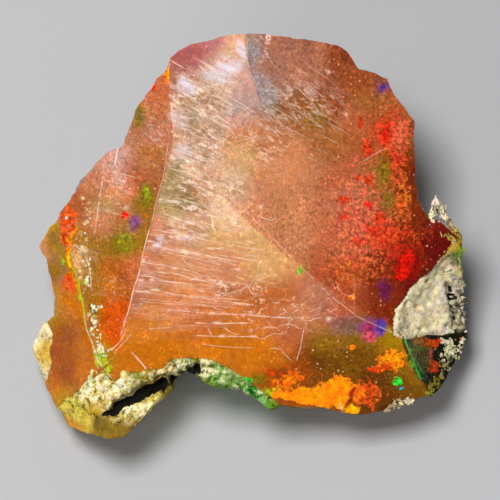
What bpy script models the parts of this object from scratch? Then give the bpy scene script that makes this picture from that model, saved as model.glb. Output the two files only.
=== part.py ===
"""Rough precious opal, broken from its nodule, with host rock on its underside.

The stone is drawn lying flat, in millimetres: x to the right, y up the stone and
z out of its broken front. It starts as a ball pushed out to the nodule's outline.
Planes split off the broken faces, big spheres scoop the shell-like scars, and a
wedge cuts each hackle groove. Plain blocks then part the host rock from the opal.
At the end the stone is leaned back on its rind and cut flat to stand.
"""

import math

import bmesh
import bpy
import numpy as np
from mathutils import Matrix, Vector, noise

MM = 0.001  # metres in a millimetre

# How the stone stands
LEAN_DEG = 20.0  # the broken front leans back from straight up
BASE_DEPTH = 9.6  # the middle of the drawing above the base
STAND_MIDDLE = (0.03, 0.31)  # middle of the leaned stone's outline on the floor
CONTACT_GAP = 0.3  # left between the opal and its host rock

# The nodule: its outline seen from the front, going round clockwise from the top
OUTLINE = [
    (-1.7, 18.5), (1.7, 18.5), (4.6, 18.0), (8.1, 17.5), (9.1, 16.8), (10.0, 15.4),
    (12.5, 14.5), (13.2, 12.9), (15.1, 10.7), (15.0, 8.9), (15.1, 5.4), (15.4, 3.4),
    (16.1, 2.2), (17.8, 1.2), (19.0, 0.0), (19.5, -1.5), (19.5, -4.6), (19.3, -6.2),
    (20.0, -9.1), (18.5, -11.7), (17.1, -14.0), (15.1, -14.7), (13.9, -15.4),
    (9.8, -16.1), (6.3, -15.4), (3.4, -15.3), (2.0, -15.6), (-1.2, -13.7),
    (-4.4, -12.9), (-5.8, -12.5), (-6.8, -13.5), (-8.7, -15.4), (-10.4, -16.9),
    (-11.6, -18.3), (-13.3, -18.3), (-16.8, -17.1), (-17.5, -15.4), (-19.1, -12.2),
    (-20.0, -10.0), (-18.8, -7.9), (-17.8, -7.1), (-17.7, -5.4), (-18.2, -2.7),
    (-19.1, -0.9), (-18.4, 0.9), (-17.2, 2.5), (-15.6, 4.3), (-12.6, 8.0),
    (-11.4, 8.3), (-9.9, 12.1), (-7.5, 15.2), (-7.1, 16.4), (-5.3, 17.4), (-2.9, 18.1),
]
GIRTH_Z = -1.5  # height of the widest line, at the middle
GIRTH_SLOPE = (-0.05, 0.04)  # its rise along x and y
CROWN = 17.0  # reach of the blank above the widest line, at the middle
CROWN_SLOPE = 0.3  # more reach up the stone, so the top edge is steep
CROWN_POWER = 3.0  # 2 is an ellipse, more is squarer
BELLY = 9.6  # reach below the widest line, at the middle
BELLY_SLOPE = 0.26
BELLY_POWER = 2.2
ROUGHNESS = 0.35  # height of the blank's own bumps
ROUGHNESS_PITCH = 3.2

# Broken faces: height at the middle of the drawing, slope along x, slope along y
FACES = {
    "central": (6.94, -0.107, 0.210),
    "right": (8.10, -0.353, -0.085),
    "left": (13.85, 0.650, 0.007),
    "amber": (20.68, 1.060, 0.133),
}

# Shell-like scars: middle of the hollow, its outward direction, its width and depth
SCARS = {
    "right_face": ((7.5, 4.5, 5.07), (0.353, 0.085, 1.0), 34.0, 0.95),
    "upper_hackle": ((-6.4, 12.6, 8.9), (-0.10, 0.0, 1.0), 15.4, 1.1),
    "back_high": ((2.0, 18.0, -6.5), (0.1, 1.0, -0.25), 15.0, 1.4),
    "back_left": ((-13.4, 8.9, -6.0), (-1.0, 0.9, -0.3), 13.0, 1.2),
    "back_right": ((15.0, 8.4, -6.0), (1.0, 0.35, -0.3), 13.0, 1.1),
    "left_low": ((-18.0, -3.2, -4.6), (-1.0, 0.1, -0.3), 9.0, 0.9),
}

# The dark corner was scooped out of the opal alone, and left the host rock as a ledge
DARK_CORNER = ((17.2, -11.2, 1.5), (0.65, 0.28, 0.70), 9.5, 1.0)

# Hackle grooves: a fan that spreads from one far point, over the two hackled faces
FAN_POINT = (38.0, -8.7)
FAN_STARTS = [  # where each groove leaves the left ridge, and its length
    (-7.0, 15.4, 6.0), (-7.2, 13.2, 7.5), (-7.4, 11.0, 6.5), (-7.7, 8.8, 8.0),
    (-8.1, 6.6, 7.5), (-8.4, 4.6, 9.5), (-8.7, 2.8, 11.0), (-9.1, 1.0, 12.5),
    (-9.6, -0.9, 12.0), (-10.1, -2.8, 12.5), (-10.7, -4.6, 13.0), (-11.2, -6.4, 11.0),
    (-11.5, -8.0, 8.5),
]
HACKLE_WIDTH = 0.6
HACKLE_DEPTH = 0.18
HACKLE_REACH = 3.4  # a groove is broken into straight stretches of about this length
HACKLE_BREAK = 0.4  # left whole between two stretches

# The crevice under the crust at the lower left: its two ends, its width and depth
CREVICE = ((-14.0, -16.6), (-6.6, -12.6), 2.2, 1.3)

# Host rock fills these blocks. Each face is a point on it and its direction out of
# the rock, into the opal; a block is open on its other sides.
ROCK_BLOCKS = {
    "underside": [((0.0, 0.0, -5.2), (0.0, 0.115, 1.0))],
    "front_rim": [
        ((-5.5, -10.9, 5.2), (4.4, 7.9, 2.4)),
        ((-5.55, -12.0, 4.0), (-1.0, 0.0, 0.0)),
    ],
    "lower_left_crust": [
        ((-5.5, -10.9, 5.2), (-0.43, 0.84, 0.33)),
        ((-5.45, -12.0, 4.0), (1.0, 0.0, 0.0)),
    ],
    "left_nub": [
        ((-18.1, -9.5, 0.1), (1.0, 0.10, 0.60)),
        ((-18.5, -7.2, 0.0), (0.2, 1.0, 0.30)),
    ],
    "right_patch": [
        ((13.2, -6.35, 3.0), (-0.70, 0.72, -0.12)),
        ((13.2, -7.5, 3.0), (-1.0, 0.0, -0.30)),
        ((16.0, -9.0, 1.0), (0.05, -1.0, -0.10)),
    ],
}

COLOURS = {
    "precious_opal": (0.50, 0.16, 0.045, 1.0),
    "host_rock": (0.64, 0.58, 0.43, 1.0),
}


def outline_radius(angle):
    """Distance from the middle to the outline, in the direction of an angle."""
    corners = np.array(OUTLINE)
    turns = np.arctan2(corners[:, 1], corners[:, 0])
    order = np.argsort(turns)
    reach = np.hypot(corners[:, 0], corners[:, 1])[order]
    return float(np.interp(angle, turns[order], reach, period=2 * math.pi))


def blank_radius(direction):
    """Reach of the nodule's blank from its middle, along one direction.

    |rho / outline|^p + |(z - girth) / reach|^p = 1, where reach is the crown's
    above the widest line and the belly's below it.
    """
    flat = math.hypot(direction.x, direction.y)
    edge = outline_radius(math.atan2(direction.y, direction.x))
    near, far = 0.0, 40.0
    for _ in range(40):
        half = (near + far) / 2
        x, y, z = direction * half
        girth = GIRTH_SLOPE[0] * x + GIRTH_SLOPE[1] * y
        rise = z - girth
        reach = CROWN + CROWN_SLOPE * y if rise > 0 else BELLY + BELLY_SLOPE * y
        power = CROWN_POWER if rise > 0 else BELLY_POWER
        inside = (half * flat / edge) ** power + abs(rise / reach) ** power
        near, far = (half, far) if inside < 1 else (near, half)
    return near


def nodule():
    """The nodule before it broke: a ball pushed out to its blank."""
    shape = bmesh.new()
    bmesh.ops.create_icosphere(shape, subdivisions=5, radius=1.0)
    for vert in shape.verts:
        direction = vert.co.normalized()
        reach = blank_radius(direction)
        reach += ROUGHNESS * noise.noise(direction * reach / ROUGHNESS_PITCH)
        vert.co = direction * reach + Vector((0.0, 0.0, GIRTH_Z))
    return shape


def split(shape, point, outward):
    """Break the shape on a plane and keep the side that the direction points out of."""
    edges = list(shape.edges) + list(shape.faces) + list(shape.verts)
    cut = bmesh.ops.bisect_plane(
        shape, geom=edges, dist=1e-6, plane_co=point, plane_no=outward, clear_outer=True
    )
    rim = [item for item in cut["geom_cut"] if isinstance(item, bmesh.types.BMEdge)]
    bmesh.ops.contextual_create(shape, geom=rim)


def to_object(shape, name, collection):
    """Put a bmesh in a new object of a collection."""
    bmesh.ops.recalc_face_normals(shape, faces=shape.faces)
    mesh = bpy.data.meshes.new(name)
    shape.to_mesh(mesh)
    shape.free()
    made = bpy.data.objects.new(name, mesh)
    collection.objects.link(made)
    return made


def combine(target, cutter, operation):
    """Cut one object with another, and keep the result as plain mesh."""
    step = target.modifiers.new(cutter.name, "BOOLEAN")
    step.operation = operation
    step.solver = "EXACT"
    step.object = cutter
    bpy.context.view_layer.update()
    seen = target.evaluated_get(bpy.context.evaluated_depsgraph_get())
    cut = bpy.data.meshes.new_from_object(seen)
    target.modifiers.remove(step)
    old = target.data
    target.data = cut
    bpy.data.meshes.remove(old)
    bpy.context.view_layer.update()


def rock_block(name, faces, grown, collection):
    """A big block with its faces on the contact; grown moves them into the opal."""
    shape = bmesh.new()
    bmesh.ops.create_cube(shape, size=90.0)
    for point, outward in faces:
        normal = Vector(outward).normalized()
        split(shape, Vector(point) + normal * grown, normal)
    return to_object(shape, name, collection)


def rock_space(name, grown, collection):
    """All the blocks of host rock as one solid."""
    blocks = [
        rock_block(f"{name}_{part}", faces, grown, collection)
        for part, faces in ROCK_BLOCKS.items()
    ]
    for other in blocks[1:]:
        combine(blocks[0], other, "UNION")
    return blocks[0]


def scar_cutter(name, centre, outward, width, depth, collection):
    """A ball whose cap of that width and depth sinks into the stone.

    radius = (width^2 / 4 + depth^2) / (2 depth)
    """
    radius = (width * width / 4 + depth * depth) / (2 * depth)
    normal = Vector(outward).normalized()
    shape = bmesh.new()
    bmesh.ops.create_icosphere(shape, subdivisions=5, radius=radius)
    middle = Vector(centre) + normal * (radius - depth)
    bmesh.ops.translate(shape, verts=shape.verts, vec=middle)
    return to_object(shape, name, collection)


def surface_above(made, x, y):
    """The point of the stone's front over one place in the drawing."""
    found, point, _, _ = made.ray_cast(Vector((x, y, 60.0)), Vector((0.0, 0.0, -1.0)))
    if not found:
        raise ValueError(f"nothing lies under {x}, {y}")
    return point


def groove_cutter(name, start, end, width, depth, collection):
    """A long wedge with its edge down, from one point of the surface to another."""
    along = (end - start).normalized()
    across = Vector((0.0, 0.0, 1.0)).cross(along).normalized()
    out = along.cross(across)
    shape = bmesh.new()
    bmesh.ops.create_cone(
        shape, cap_ends=True, segments=3, radius1=1.0, radius2=1.0, depth=1.0
    )
    edge_down = Matrix.Rotation(math.pi / 2, 4, "Y")
    size = Matrix.Diagonal(((end - start).length, width, depth * 2.0, 1.0))
    frame = Matrix((along, across, out)).transposed().to_4x4()
    place = Matrix.Translation((start + end) / 2 + out * depth)
    bmesh.ops.transform(shape, verts=shape.verts, matrix=place @ frame @ size @ edge_down)
    return to_object(shape, name, collection)


def hackle_cutters(stone, collection):
    """Short wedges, one after the other, along each groove of the fan."""
    for number, (x, y, length) in enumerate(FAN_STARTS, 1):
        ray = Vector((FAN_POINT[0] - x, FAN_POINT[1] - y)).normalized()
        stretches = math.ceil(length / HACKLE_REACH)
        pitch = length / stretches
        for step in range(stretches):
            near, far = step * pitch, (step + 1) * pitch - HACKLE_BREAK
            start = surface_above(stone, x + ray.x * near, y + ray.y * near)
            end = surface_above(stone, x + ray.x * far, y + ray.y * far)
            name = f"hackle_{number}_{step + 1}"
            yield groove_cutter(name, start, end, HACKLE_WIDTH, HACKLE_DEPTH, collection)


def stand_up(made):
    """Lean the stone back, stand it over the origin, cut its base and bring it to metres."""
    lean = Matrix.Rotation(math.radians(LEAN_DEG), 4, "X")
    lift = Matrix.Translation((-STAND_MIDDLE[0], -STAND_MIDDLE[1], BASE_DEPTH))
    made.data.transform(Matrix.Scale(MM, 4) @ lift @ lean)
    shape = bmesh.new()
    shape.from_mesh(made.data)
    split(shape, Vector((0.0, 0.0, 0.0)), Vector((0.0, 0.0, -1.0)))
    shape.to_mesh(made.data)
    shape.free()


def paint(made, roughness):
    """Give a piece its own plain material."""
    material = bpy.data.materials.new(made.name)
    material.use_nodes = True
    shader = material.node_tree.nodes["Principled BSDF"]
    shader.inputs["Base Color"].default_value = COLOURS[made.name]
    shader.inputs["Roughness"].default_value = roughness
    shader.inputs["Metallic"].default_value = 0.0
    made.data.materials.clear()
    made.data.materials.append(material)


def main():
    for made in list(bpy.data.objects):
        bpy.data.objects.remove(made)
    parts = bpy.data.collections.new("rough_opal")
    tools = bpy.data.collections.new("cutters")
    bpy.context.scene.collection.children.link(parts)
    bpy.context.scene.collection.children.link(tools)

    stone = nodule()
    for height, slope_x, slope_y in FACES.values():
        split(stone, Vector((0.0, 0.0, height)), Vector((-slope_x, -slope_y, 1.0)))
    opal = to_object(stone, "precious_opal", parts)
    for name, (centre, outward, width, depth) in SCARS.items():
        combine(opal, scar_cutter(name, centre, outward, width, depth, tools), "DIFFERENCE")
    for cutter in list(hackle_cutters(opal, tools)):
        combine(opal, cutter, "DIFFERENCE")
    start, end, width, depth = CREVICE
    ends = surface_above(opal, *start), surface_above(opal, *end)
    combine(opal, groove_cutter("crevice", *ends, width, depth, tools), "DIFFERENCE")

    rock = opal.copy()
    rock.data = opal.data.copy()
    rock.name = "host_rock"
    parts.objects.link(rock)
    combine(rock, rock_space("rock_space", 0.0, tools), "INTERSECT")
    combine(opal, rock_space("opal_limit", CONTACT_GAP, tools), "DIFFERENCE")
    combine(opal, scar_cutter("dark_corner", *DARK_CORNER, tools), "DIFFERENCE")
    stand_up(rock)
    stand_up(opal)
    paint(opal, 0.25)
    paint(rock, 0.9)
    for tool in tools.objects:
        tool.hide_render = True
        tool.display_type = "WIRE"


main()
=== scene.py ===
# %% [markdown]
# # A rough opal on its host rock
#
# A stone that broke out of its nodule has three kinds of surface: broken faces that
# meet in crisp ridges, the old rough skin, and the pale host rock that the opal grew
# in. This notebook builds each kind from plain formulas, paints them, and lights them.
#
# All the shapes are first drawn lying flat, in millimetres: x to the right, y up the
# stone and z out of its broken front. One matrix then leans the stone back on its rind.

# %% Load the fixed frame
import math

import bpy
import numpy as np
from mathutils import Matrix, Vector


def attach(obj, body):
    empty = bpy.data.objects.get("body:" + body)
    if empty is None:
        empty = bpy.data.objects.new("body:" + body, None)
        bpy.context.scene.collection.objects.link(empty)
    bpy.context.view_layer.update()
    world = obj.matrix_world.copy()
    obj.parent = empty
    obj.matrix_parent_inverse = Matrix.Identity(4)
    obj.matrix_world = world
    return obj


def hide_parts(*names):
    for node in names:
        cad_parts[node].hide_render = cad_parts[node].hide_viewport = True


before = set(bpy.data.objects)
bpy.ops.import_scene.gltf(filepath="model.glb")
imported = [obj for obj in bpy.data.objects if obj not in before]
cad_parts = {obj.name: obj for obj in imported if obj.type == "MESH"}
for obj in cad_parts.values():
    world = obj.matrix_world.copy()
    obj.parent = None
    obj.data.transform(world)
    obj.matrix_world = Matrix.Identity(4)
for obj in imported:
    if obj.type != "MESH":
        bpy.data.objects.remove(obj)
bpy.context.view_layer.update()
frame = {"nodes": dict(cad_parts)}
print("solids in the frame:", ", ".join(frame["nodes"]))

# %% [markdown]
# ## How the stone stands
#
# The leaning back, the depth of the base and the middle of the floor outline are the
# same numbers that the solids were made with, so every point that is drawn flat lands
# on the solid that it belongs to.

# %% From the flat drawing to the standing stone
MM = 0.001
LEAN_DEG = 20.0
BASE_DEPTH = 9.6
STAND_MIDDLE = (0.03, 0.31)

LEAN = np.array(Matrix.Rotation(math.radians(LEAN_DEG), 3, "X"))
STAND = np.array((-STAND_MIDDLE[0], -STAND_MIDDLE[1], BASE_DEPTH))


def standing(points):
    """Drawing in millimetres to world in metres: (lean * p + stand) / 1000."""
    return (points @ LEAN.T + STAND) * MM


print("the middle of the drawing stands at", standing(np.zeros(3)).round(4))

# %% [markdown]
# ## Camera, floor and light first
#
# A camera that is set before the stone is made shows every later step from the same
# side. It looks straight down the z axis of the drawing through a long lens, which
# keeps the outline free of perspective. The floor is pale and plain, and the light is
# a soft studio set. The main panel hangs above the stone, where none of the big faces
# mirrors it but the upper sides of their fine lines do. A weak one at the left opens
# the shadows.

# %% Camera
def new_object(name, data):
    """A new object, put in the scene."""
    made = bpy.data.objects.new(name, data)
    bpy.context.scene.collection.objects.link(made)
    return made


VIEW_PIXELS = 500
PIXEL = 0.0907  # millimetres of the drawing across one pixel of the view
AIM = (0.09, -1.09, 2.0)  # the point of the drawing in the middle of the view
CAMERA_DISTANCE = 700.0
SENSOR = 36.0

camera_data = bpy.data.cameras.new("camera")
camera_data.sensor_width = SENSOR
camera_data.lens = SENSOR * CAMERA_DISTANCE / (VIEW_PIXELS * PIXEL)
camera_data.clip_start, camera_data.clip_end = 0.01, 10.0
camera = new_object("camera", camera_data)
eye = standing(np.array(AIM) + np.array((0.0, 0.0, CAMERA_DISTANCE)))
camera.location = eye
camera.rotation_euler = (math.radians(LEAN_DEG), 0.0, 0.0)
bpy.context.scene.camera = camera
print("lens of", round(camera_data.lens), "mm, seen from", eye.round(3))

# %% Floor
def new_finish(name):
    """A new material, its tree of nodes and the shader in it."""
    finish = bpy.data.materials.new(name)
    finish.use_nodes = True
    return finish, finish.node_tree, finish.node_tree.nodes["Principled BSDF"]


def set_values(shader, values):
    """Set the shader's own sockets, for all that is the same over the whole surface."""
    for name, value in values.items():
        shader.inputs[name].default_value = value


def plain_floor(half_width, tone):
    """A flat square of one pale tone under the stone."""
    corners = [(-1, -1, 0), (1, -1, 0), (1, 1, 0), (-1, 1, 0)]
    mesh = bpy.data.meshes.new("floor")
    mesh.from_pydata([tuple(half_width * c for c in p) for p in corners], [], [(0, 1, 2, 3)])
    paper, _, shader = new_finish("floor_paper")
    set_values(shader, {"Base Color": (*tone, 1.0), "Roughness": 0.9})
    mesh.materials.append(paper)
    return new_object("floor", mesh)


floor = plain_floor(half_width=2.0, tone=(0.42, 0.42, 0.43))
print("floor:", floor.dimensions.x, "m wide")

# %% Lights
def soft_panel(name, direction, distance, size, watts):
    """A square white light at a direction from the stone, turned to face it."""
    light = bpy.data.lights.new(name, "AREA")
    light.shape = "SQUARE"
    light.size = size
    light.energy = watts
    made = new_object(name, light)
    way = Vector(direction).normalized()
    made.location = way * distance
    made.rotation_euler = way.to_track_quat("Z", "Y").to_euler()


soft_panel("key_panel", (-0.196, -0.02, 0.972), distance=0.5, size=0.16, watts=2.55)
soft_panel("side_panel", (-0.55, -0.75, 0.45), distance=0.6, size=0.3, watts=1.2)

world = bpy.data.worlds.new("studio")
world.use_nodes = True
set_values(world.node_tree.nodes["Background"], {"Color": (1.0, 1.0, 1.0, 1.0), "Strength": 0.18})
bpy.context.scene.world = world
bpy.context.scene.view_settings.view_transform = "Standard"

# %% [markdown]
# ## Noise on whole arrays
#
# Stone needs irregular numbers that are the same each run. A hash turns the corners of
# a grid into fixed random values. Blending them gives smooth noise, and the distance
# to a random point in each cell gives grains.

# %% Hash and smooth noise
CELL_PRIMES = (374761393, 668265263, 2147483629)  # one for each of x, y and z
SEED_PRIME, MIX_PRIME = 974634777, 1274126177
LOW_BITS = 0xFFFFFFFF  # keeps the lower 32 bits of a whole number


def hashed(cell, seed):
    """A fixed random value from 0 to 1 for each whole-number cell (x, y, z).

    The cell times its primes plus the seed, folded over itself, times one more prime,
    folded again, and divided by 2^32.
    """
    folded = (cell.astype(np.int64) * CELL_PRIMES).sum(axis=-1) + seed * SEED_PRIME
    folded = (folded ^ (folded >> 13)) & LOW_BITS
    folded = (folded * MIX_PRIME) & LOW_BITS
    folded = (folded ^ (folded >> 16)) & LOW_BITS
    return folded / 2.0**32


CORNERS = np.indices((2, 2, 2)).reshape(3, -1).T


def noise(points, pitch, seed=0):
    """Smooth noise from -1 to 1: corner values blended with 6t^5 - 15t^4 + 10t^3."""
    scaled = points / pitch
    low = np.floor(scaled)
    part = scaled - low
    part = part * part * part * (part * (part * 6 - 15) + 10)
    total = np.zeros(points.shape[:-1])
    for corner in CORNERS:
        share = np.where(corner == 1, part, 1 - part).prod(axis=-1)
        total += share * hashed(low + corner, seed)
    return total * 2 - 1


def flat_points(x, y):
    """Places of the drawing as points at height 0, because noise takes points."""
    return np.stack([x, y, np.zeros_like(x)], axis=-1)


def rough_noise(points, pitch, octaves, seed):
    """Noise on noise: each octave has half the pitch and half the height."""
    total, height = np.zeros(points.shape[:-1]), 1.0
    for octave in range(octaves):
        total += height * noise(points, pitch / 2**octave, seed + octave)
        height *= 0.5
    return total


print("noise at the origin:", noise(np.zeros((1, 3)), 1.0).round(3))

# %% Cells and ramps
NEIGHBOURS = np.indices((3, 3, 3)).reshape(3, -1).T - 1
FAR = 99.0  # stands for a height or a distance that never counts


def cells(points, pitch, seed):
    """Distance to the nearest random point in pitches, and that point's value."""
    scaled = points / pitch
    home = np.floor(scaled)
    nearest = np.full(points.shape[:-1], FAR)
    value = np.zeros(points.shape[:-1])
    for step in NEIGHBOURS:
        cell = home + step
        spot = cell + np.stack([hashed(cell, seed + k) for k in (1, 2, 3)], axis=-1)
        gap = np.linalg.norm(scaled - spot, axis=-1)
        closer = gap < nearest
        value = np.where(closer, hashed(cell, seed + 4), value)
        nearest = np.where(closer, gap, nearest)
    return nearest, value


def ramp(value, start, end):
    """0 before start, 1 after end, and 3t^2 - 2t^3 between."""
    t = np.clip((value - start) / (end - start), 0.0, 1.0)
    return t * t * (3 - 2 * t)


print("half way up a ramp:", ramp(0.5, 0.0, 1.0))

# %% [markdown]
# ## The nodule before it broke
#
# Seen from the front, the nodule is an outline of corners round the middle. From the
# side it is a squared ellipse: |rho / outline|^p + |rise / reach|^p = 1. The reaches are
# those of the solids. The corners follow theirs, with a few more on the knob at the left.

# %% Outline and blank
OUTLINE = [
    (-1.7, 18.5), (1.7, 18.5), (4.6, 18.0), (8.1, 17.5), (9.1, 16.8), (10.0, 15.4), (12.5, 14.5),
    (13.2, 12.9), (15.1, 10.7), (15.0, 8.9), (15.1, 5.4), (15.4, 3.4), (16.1, 2.2), (17.8, 1.2),
    (19.0, 0.0), (19.5, -1.5), (19.5, -4.6), (19.3, -6.2), (20.0, -9.1), (18.5, -11.7),
    (17.1, -14.0), (15.1, -14.7), (13.9, -15.4), (9.8, -16.1), (6.3, -15.4), (3.4, -15.3),
    (2.0, -15.6), (-1.2, -13.7), (-4.4, -12.9), (-5.8, -12.5), (-6.8, -13.5), (-8.7, -15.4),
    (-10.4, -16.9), (-11.6, -18.3), (-13.3, -18.3), (-16.8, -17.1), (-17.5, -15.4), (-19.1, -12.2),
    (-20.0, -10.0), (-18.8, -7.9), (-17.8, -7.1), (-17.7, -5.4), (-18.3, -2.6), (-18.4, -1.9),
    (-18.9, -1.4), (-19.2, -0.8), (-18.5, 0.3), (-18.3, 0.9), (-17.6, 1.4), (-17.1, 2.5),
    (-15.6, 4.3), (-12.6, 8.0), (-11.4, 8.3), (-9.9, 12.1), (-7.5, 15.2), (-7.1, 16.4),
    (-5.3, 17.4), (-2.9, 18.1),
]
FULL_TURN = 2 * math.pi
MEAN_RADIUS = 18.0
OUTLINE_INSET = 0.08  # keeps the wobble of the outline inside the corners
GIRTH_Z = -1.5
GIRTH_SLOPE = (-0.05, 0.04)
CROWN, CROWN_SLOPE, CROWN_POWER = 17.0, 0.3, 5.0
BELLY, BELLY_SLOPE, BELLY_POWER = 9.6, 0.26, 2.2


def outline_radius(turn):
    """Distance from the middle to the outline at an angle, straight between corners."""
    corners = np.array(OUTLINE)
    angles = np.arctan2(corners[:, 1], corners[:, 0])
    reach = np.hypot(corners[:, 0], corners[:, 1])
    rim = flat_points(np.cos(turn), np.sin(turn)) * MEAN_RADIUS
    wobble = 0.1 * noise(rim, 0.9, 11) + 0.05 * noise(rim, 0.35, 12)
    return np.interp(turn, angles, reach, period=FULL_TURN) + wobble - OUTLINE_INSET


def in_blank(x, y, z, edge):
    """True inside the squared ellipse of the nodule, where edge is the outline there."""
    rise = z - GIRTH_Z - GIRTH_SLOPE[0] * x - GIRTH_SLOPE[1] * y
    up = rise > 0
    reach = np.where(up, CROWN + CROWN_SLOPE * y, BELLY + BELLY_SLOPE * y)
    power = np.where(up, CROWN_POWER, BELLY_POWER)
    return (np.hypot(x, y) / edge) ** power + np.abs(rise / reach) ** power < 1.0


def last_inside(inside, far, steps=36):
    """Halve the stretch from 0 to far until it ends where inside(t) turns false."""
    near, far = np.zeros_like(far), far.copy()
    for _ in range(steps):
        half = (near + far) / 2
        held = inside(half)
        near, far = np.where(held, half, near), np.where(held, far, half)
    return near


all_round = outline_radius(np.linspace(0, FULL_TURN, 400))
print("the outline reaches from", all_round.min().round(1), "to", all_round.max().round(1), "mm")

# %% [markdown]
# ## The broken faces
#
# Opal breaks like glass. Its faces are flats and shallow shells, and two of them meet
# in a ridge wherever the lower one takes over, so the front of the stone is simply the
# lowest of all the faces at each place. A plain minimum would leave saw teeth on the
# grid, so two faces blend over a tenth of a millimetre.

# %% Heights of the faces
FACES = {
    "central": (6.94, -0.107, 0.210),
    "right": (8.1, -0.353, -0.085),
    "left": (13.85, 0.650, 0.007),
    "amber": (20.68, 1.060, 0.133),
}
SHELLS = {
    "right_face": ((7.5, 4.5, 5.07), (0.353, 0.085, 1.0), 34.0, 0.95),
    "upper_hackle": ((-3.4, 11.6, 8.32), (0.353, 0.085, 1.0), 11.0, 0.42),
    "dark_corner": ((17.2, -11.2, 1.5), (0.65, 0.28, 0.7), 9.5, 1.0),
}
RIDGE_BLEND = 0.1
UPPER_BLEND = 0.35  # the upper shell runs into the right face with no ridge


def flat_face(name, x, y):
    """Height of a flat: its height at the middle plus its slopes along x and y."""
    height, slope_x, slope_y = FACES[name]
    return height + slope_x * x + slope_y * y


def shell_face(name, x, y):
    """Height of the near side of a big ball, and FAR beside the ball."""
    centre, outward, width, depth = SHELLS[name]
    radius = (width * width / 4 + depth * depth) / (2 * depth)
    way = np.array(outward) / np.linalg.norm(outward)
    ball = np.array(centre) + way * (radius - depth)
    under = radius**2 - (x - ball[0]) ** 2 - (y - ball[1]) ** 2
    return np.where(under > 0, ball[2] - np.sqrt(np.maximum(under, 0.0)), FAR)


def lower_of(a, b, blend):
    """The lower of two heights, rounded where they are closer than blend."""
    close = np.maximum(blend - np.abs(a - b), 0.0) / blend
    return np.minimum(a, b) - close * close * blend / 4


def broken_front(x, y):
    """Height of the broken front of the stone: the lowest face at each place."""
    right = lower_of(flat_face("right", x, y), shell_face("right_face", x, y), RIDGE_BLEND)
    front = lower_of(flat_face("central", x, y), right, RIDGE_BLEND)
    front = lower_of(front, shell_face("upper_hackle", x, y), UPPER_BLEND)
    for name in ("left", "amber"):
        front = lower_of(front, flat_face(name, x, y), RIDGE_BLEND)
    return lower_of(front, shell_face("dark_corner", x, y), RIDGE_BLEND)


print("front height at the middle:", broken_front(np.zeros(1), np.zeros(1)).round(2))

# %% [markdown]
# ## Where the host rock begins
#
# The contact is drawn as the edge that shows on the front, and dips under the opal
# from there. Below everything, the rind's upper side is a tilted plane. At the right a
# wedge of rock comes up through the edge of the opal.

# %% Contact of opal and rock
CRUST_EDGE = [
    (-21.0, -17.6), (-17.6, -15.4), (-16.2, -14.3), (-14.7, -13.0), (-14.0, -11.8), (-13.2, -12.3),
    (-12.4, -12.8), (-11.2, -12.0), (-9.0, -12.0), (-7.6, -11.6), (-7.0, -10.9), (-5.5, -10.8),
    (-3.1, -11.2), (-0.2, -12.6), (1.2, -13.8), (2.6, -14.8), (4.5, -17.0), (20.0, -22.0),
]
NUB_EDGE = [(-15.0, -21.5), (-13.0, -18.6), (-11.0, -17.9), (-8.6, -18.0), (-7.3, -18.6),
            (-6.0, -21.5)]
DIP = 0.42  # the contact goes in this far for each millimetre down
UNDERSIDE = ((0.0, 0.0, -5.2), (0.0, 0.115, 1.0))
WEDGE_CORNER = (13.2, -6.4)
WEDGE_UPPER_WAY = (4.4, 4.7)  # direction of the wedge's upper side
WEDGE_LOWER = (-8.88, 0.05)  # height of its lower side at x = 16, and its slope
GAP = 0.05


def wavy(x, y, height, pitch, seed):
    """The two places moved a little by noise, so that a drawn line comes out natural."""
    spot = flat_points(x, y)
    return x + height * noise(spot, pitch, seed), y + height * noise(spot, pitch, seed + 7)


def in_wedge(x, y):
    """How far inside the wedge of rock a place lies, in millimetres; negative outside."""
    x, y = wavy(x, y, 0.22, 1.1, 31)
    run, rise = np.array(WEDGE_UPPER_WAY) / math.hypot(*WEDGE_UPPER_WAY)
    upper = (x - WEDGE_CORNER[0]) * rise - (y - WEDGE_CORNER[1]) * run
    lower = y - (WEDGE_LOWER[0] + WEDGE_LOWER[1] * (x - 16.0))
    return np.minimum(np.minimum(upper, lower), x - WEDGE_CORNER[0])


def line_at(line, height):
    """Place of a drawn line at each height, straight between its (height, place) corners."""
    heights, places = np.array(line).T
    return np.interp(height, heights, places)


def rind_height(x, y):
    """Height of the contact under the opal, above the front where rock shows."""
    point, normal = UNDERSIDE
    under = point[2] - (x * normal[0] + y * normal[1]) / normal[2]
    wx, wy = wavy(x, y, 0.3, 1.3, 21)
    front = broken_front(x, y)
    crust = front - (wy - line_at(CRUST_EDGE, wx)) / DIP
    nub = front - (wx - line_at(NUB_EDGE, wy)) / DIP
    return np.maximum(np.maximum(under, crust), nub)


print("rind under the middle at", rind_height(np.zeros(1), np.zeros(1)).round(2), "mm")

# %% [markdown]
# ## Hackle: the fine lines on the central face
#
# Where a crack tears as it runs, it leaves hackle: long, sharp, nearly parallel lances
# that fan out from one side. Each starts at the left ridge and dies away to the right.
# The fan needs two coordinates, the distance from its far point and the arc across the
# rays. The arc is cut into lanes, each lane carries one lance with its own length, and
# noise bends the lanes so that no two lines are parallel for long.

# %% The hackle fan
FAN_POINT = (38.0, -8.7)
FAN_RADIUS = 46.0  # from the far point to the left ridge
LANE = 0.52  # width of a lane, measured at the left ridge
LANCE_HEIGHT = 0.085
LEFT_RIDGE = [(-20.0, -12.6), (-8.8, -11.5), (3.1, -8.3), (15.4, -7.2), (20.0, -6.8)]


def fan_coordinates(x, y):
    """Distance from the fan's far point, and the arc across its rays."""
    dx, dy = FAN_POINT[0] - x, FAN_POINT[1] - y
    return np.hypot(dx, dy), np.arctan2(-dy, dx) * FAN_RADIUS


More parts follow.
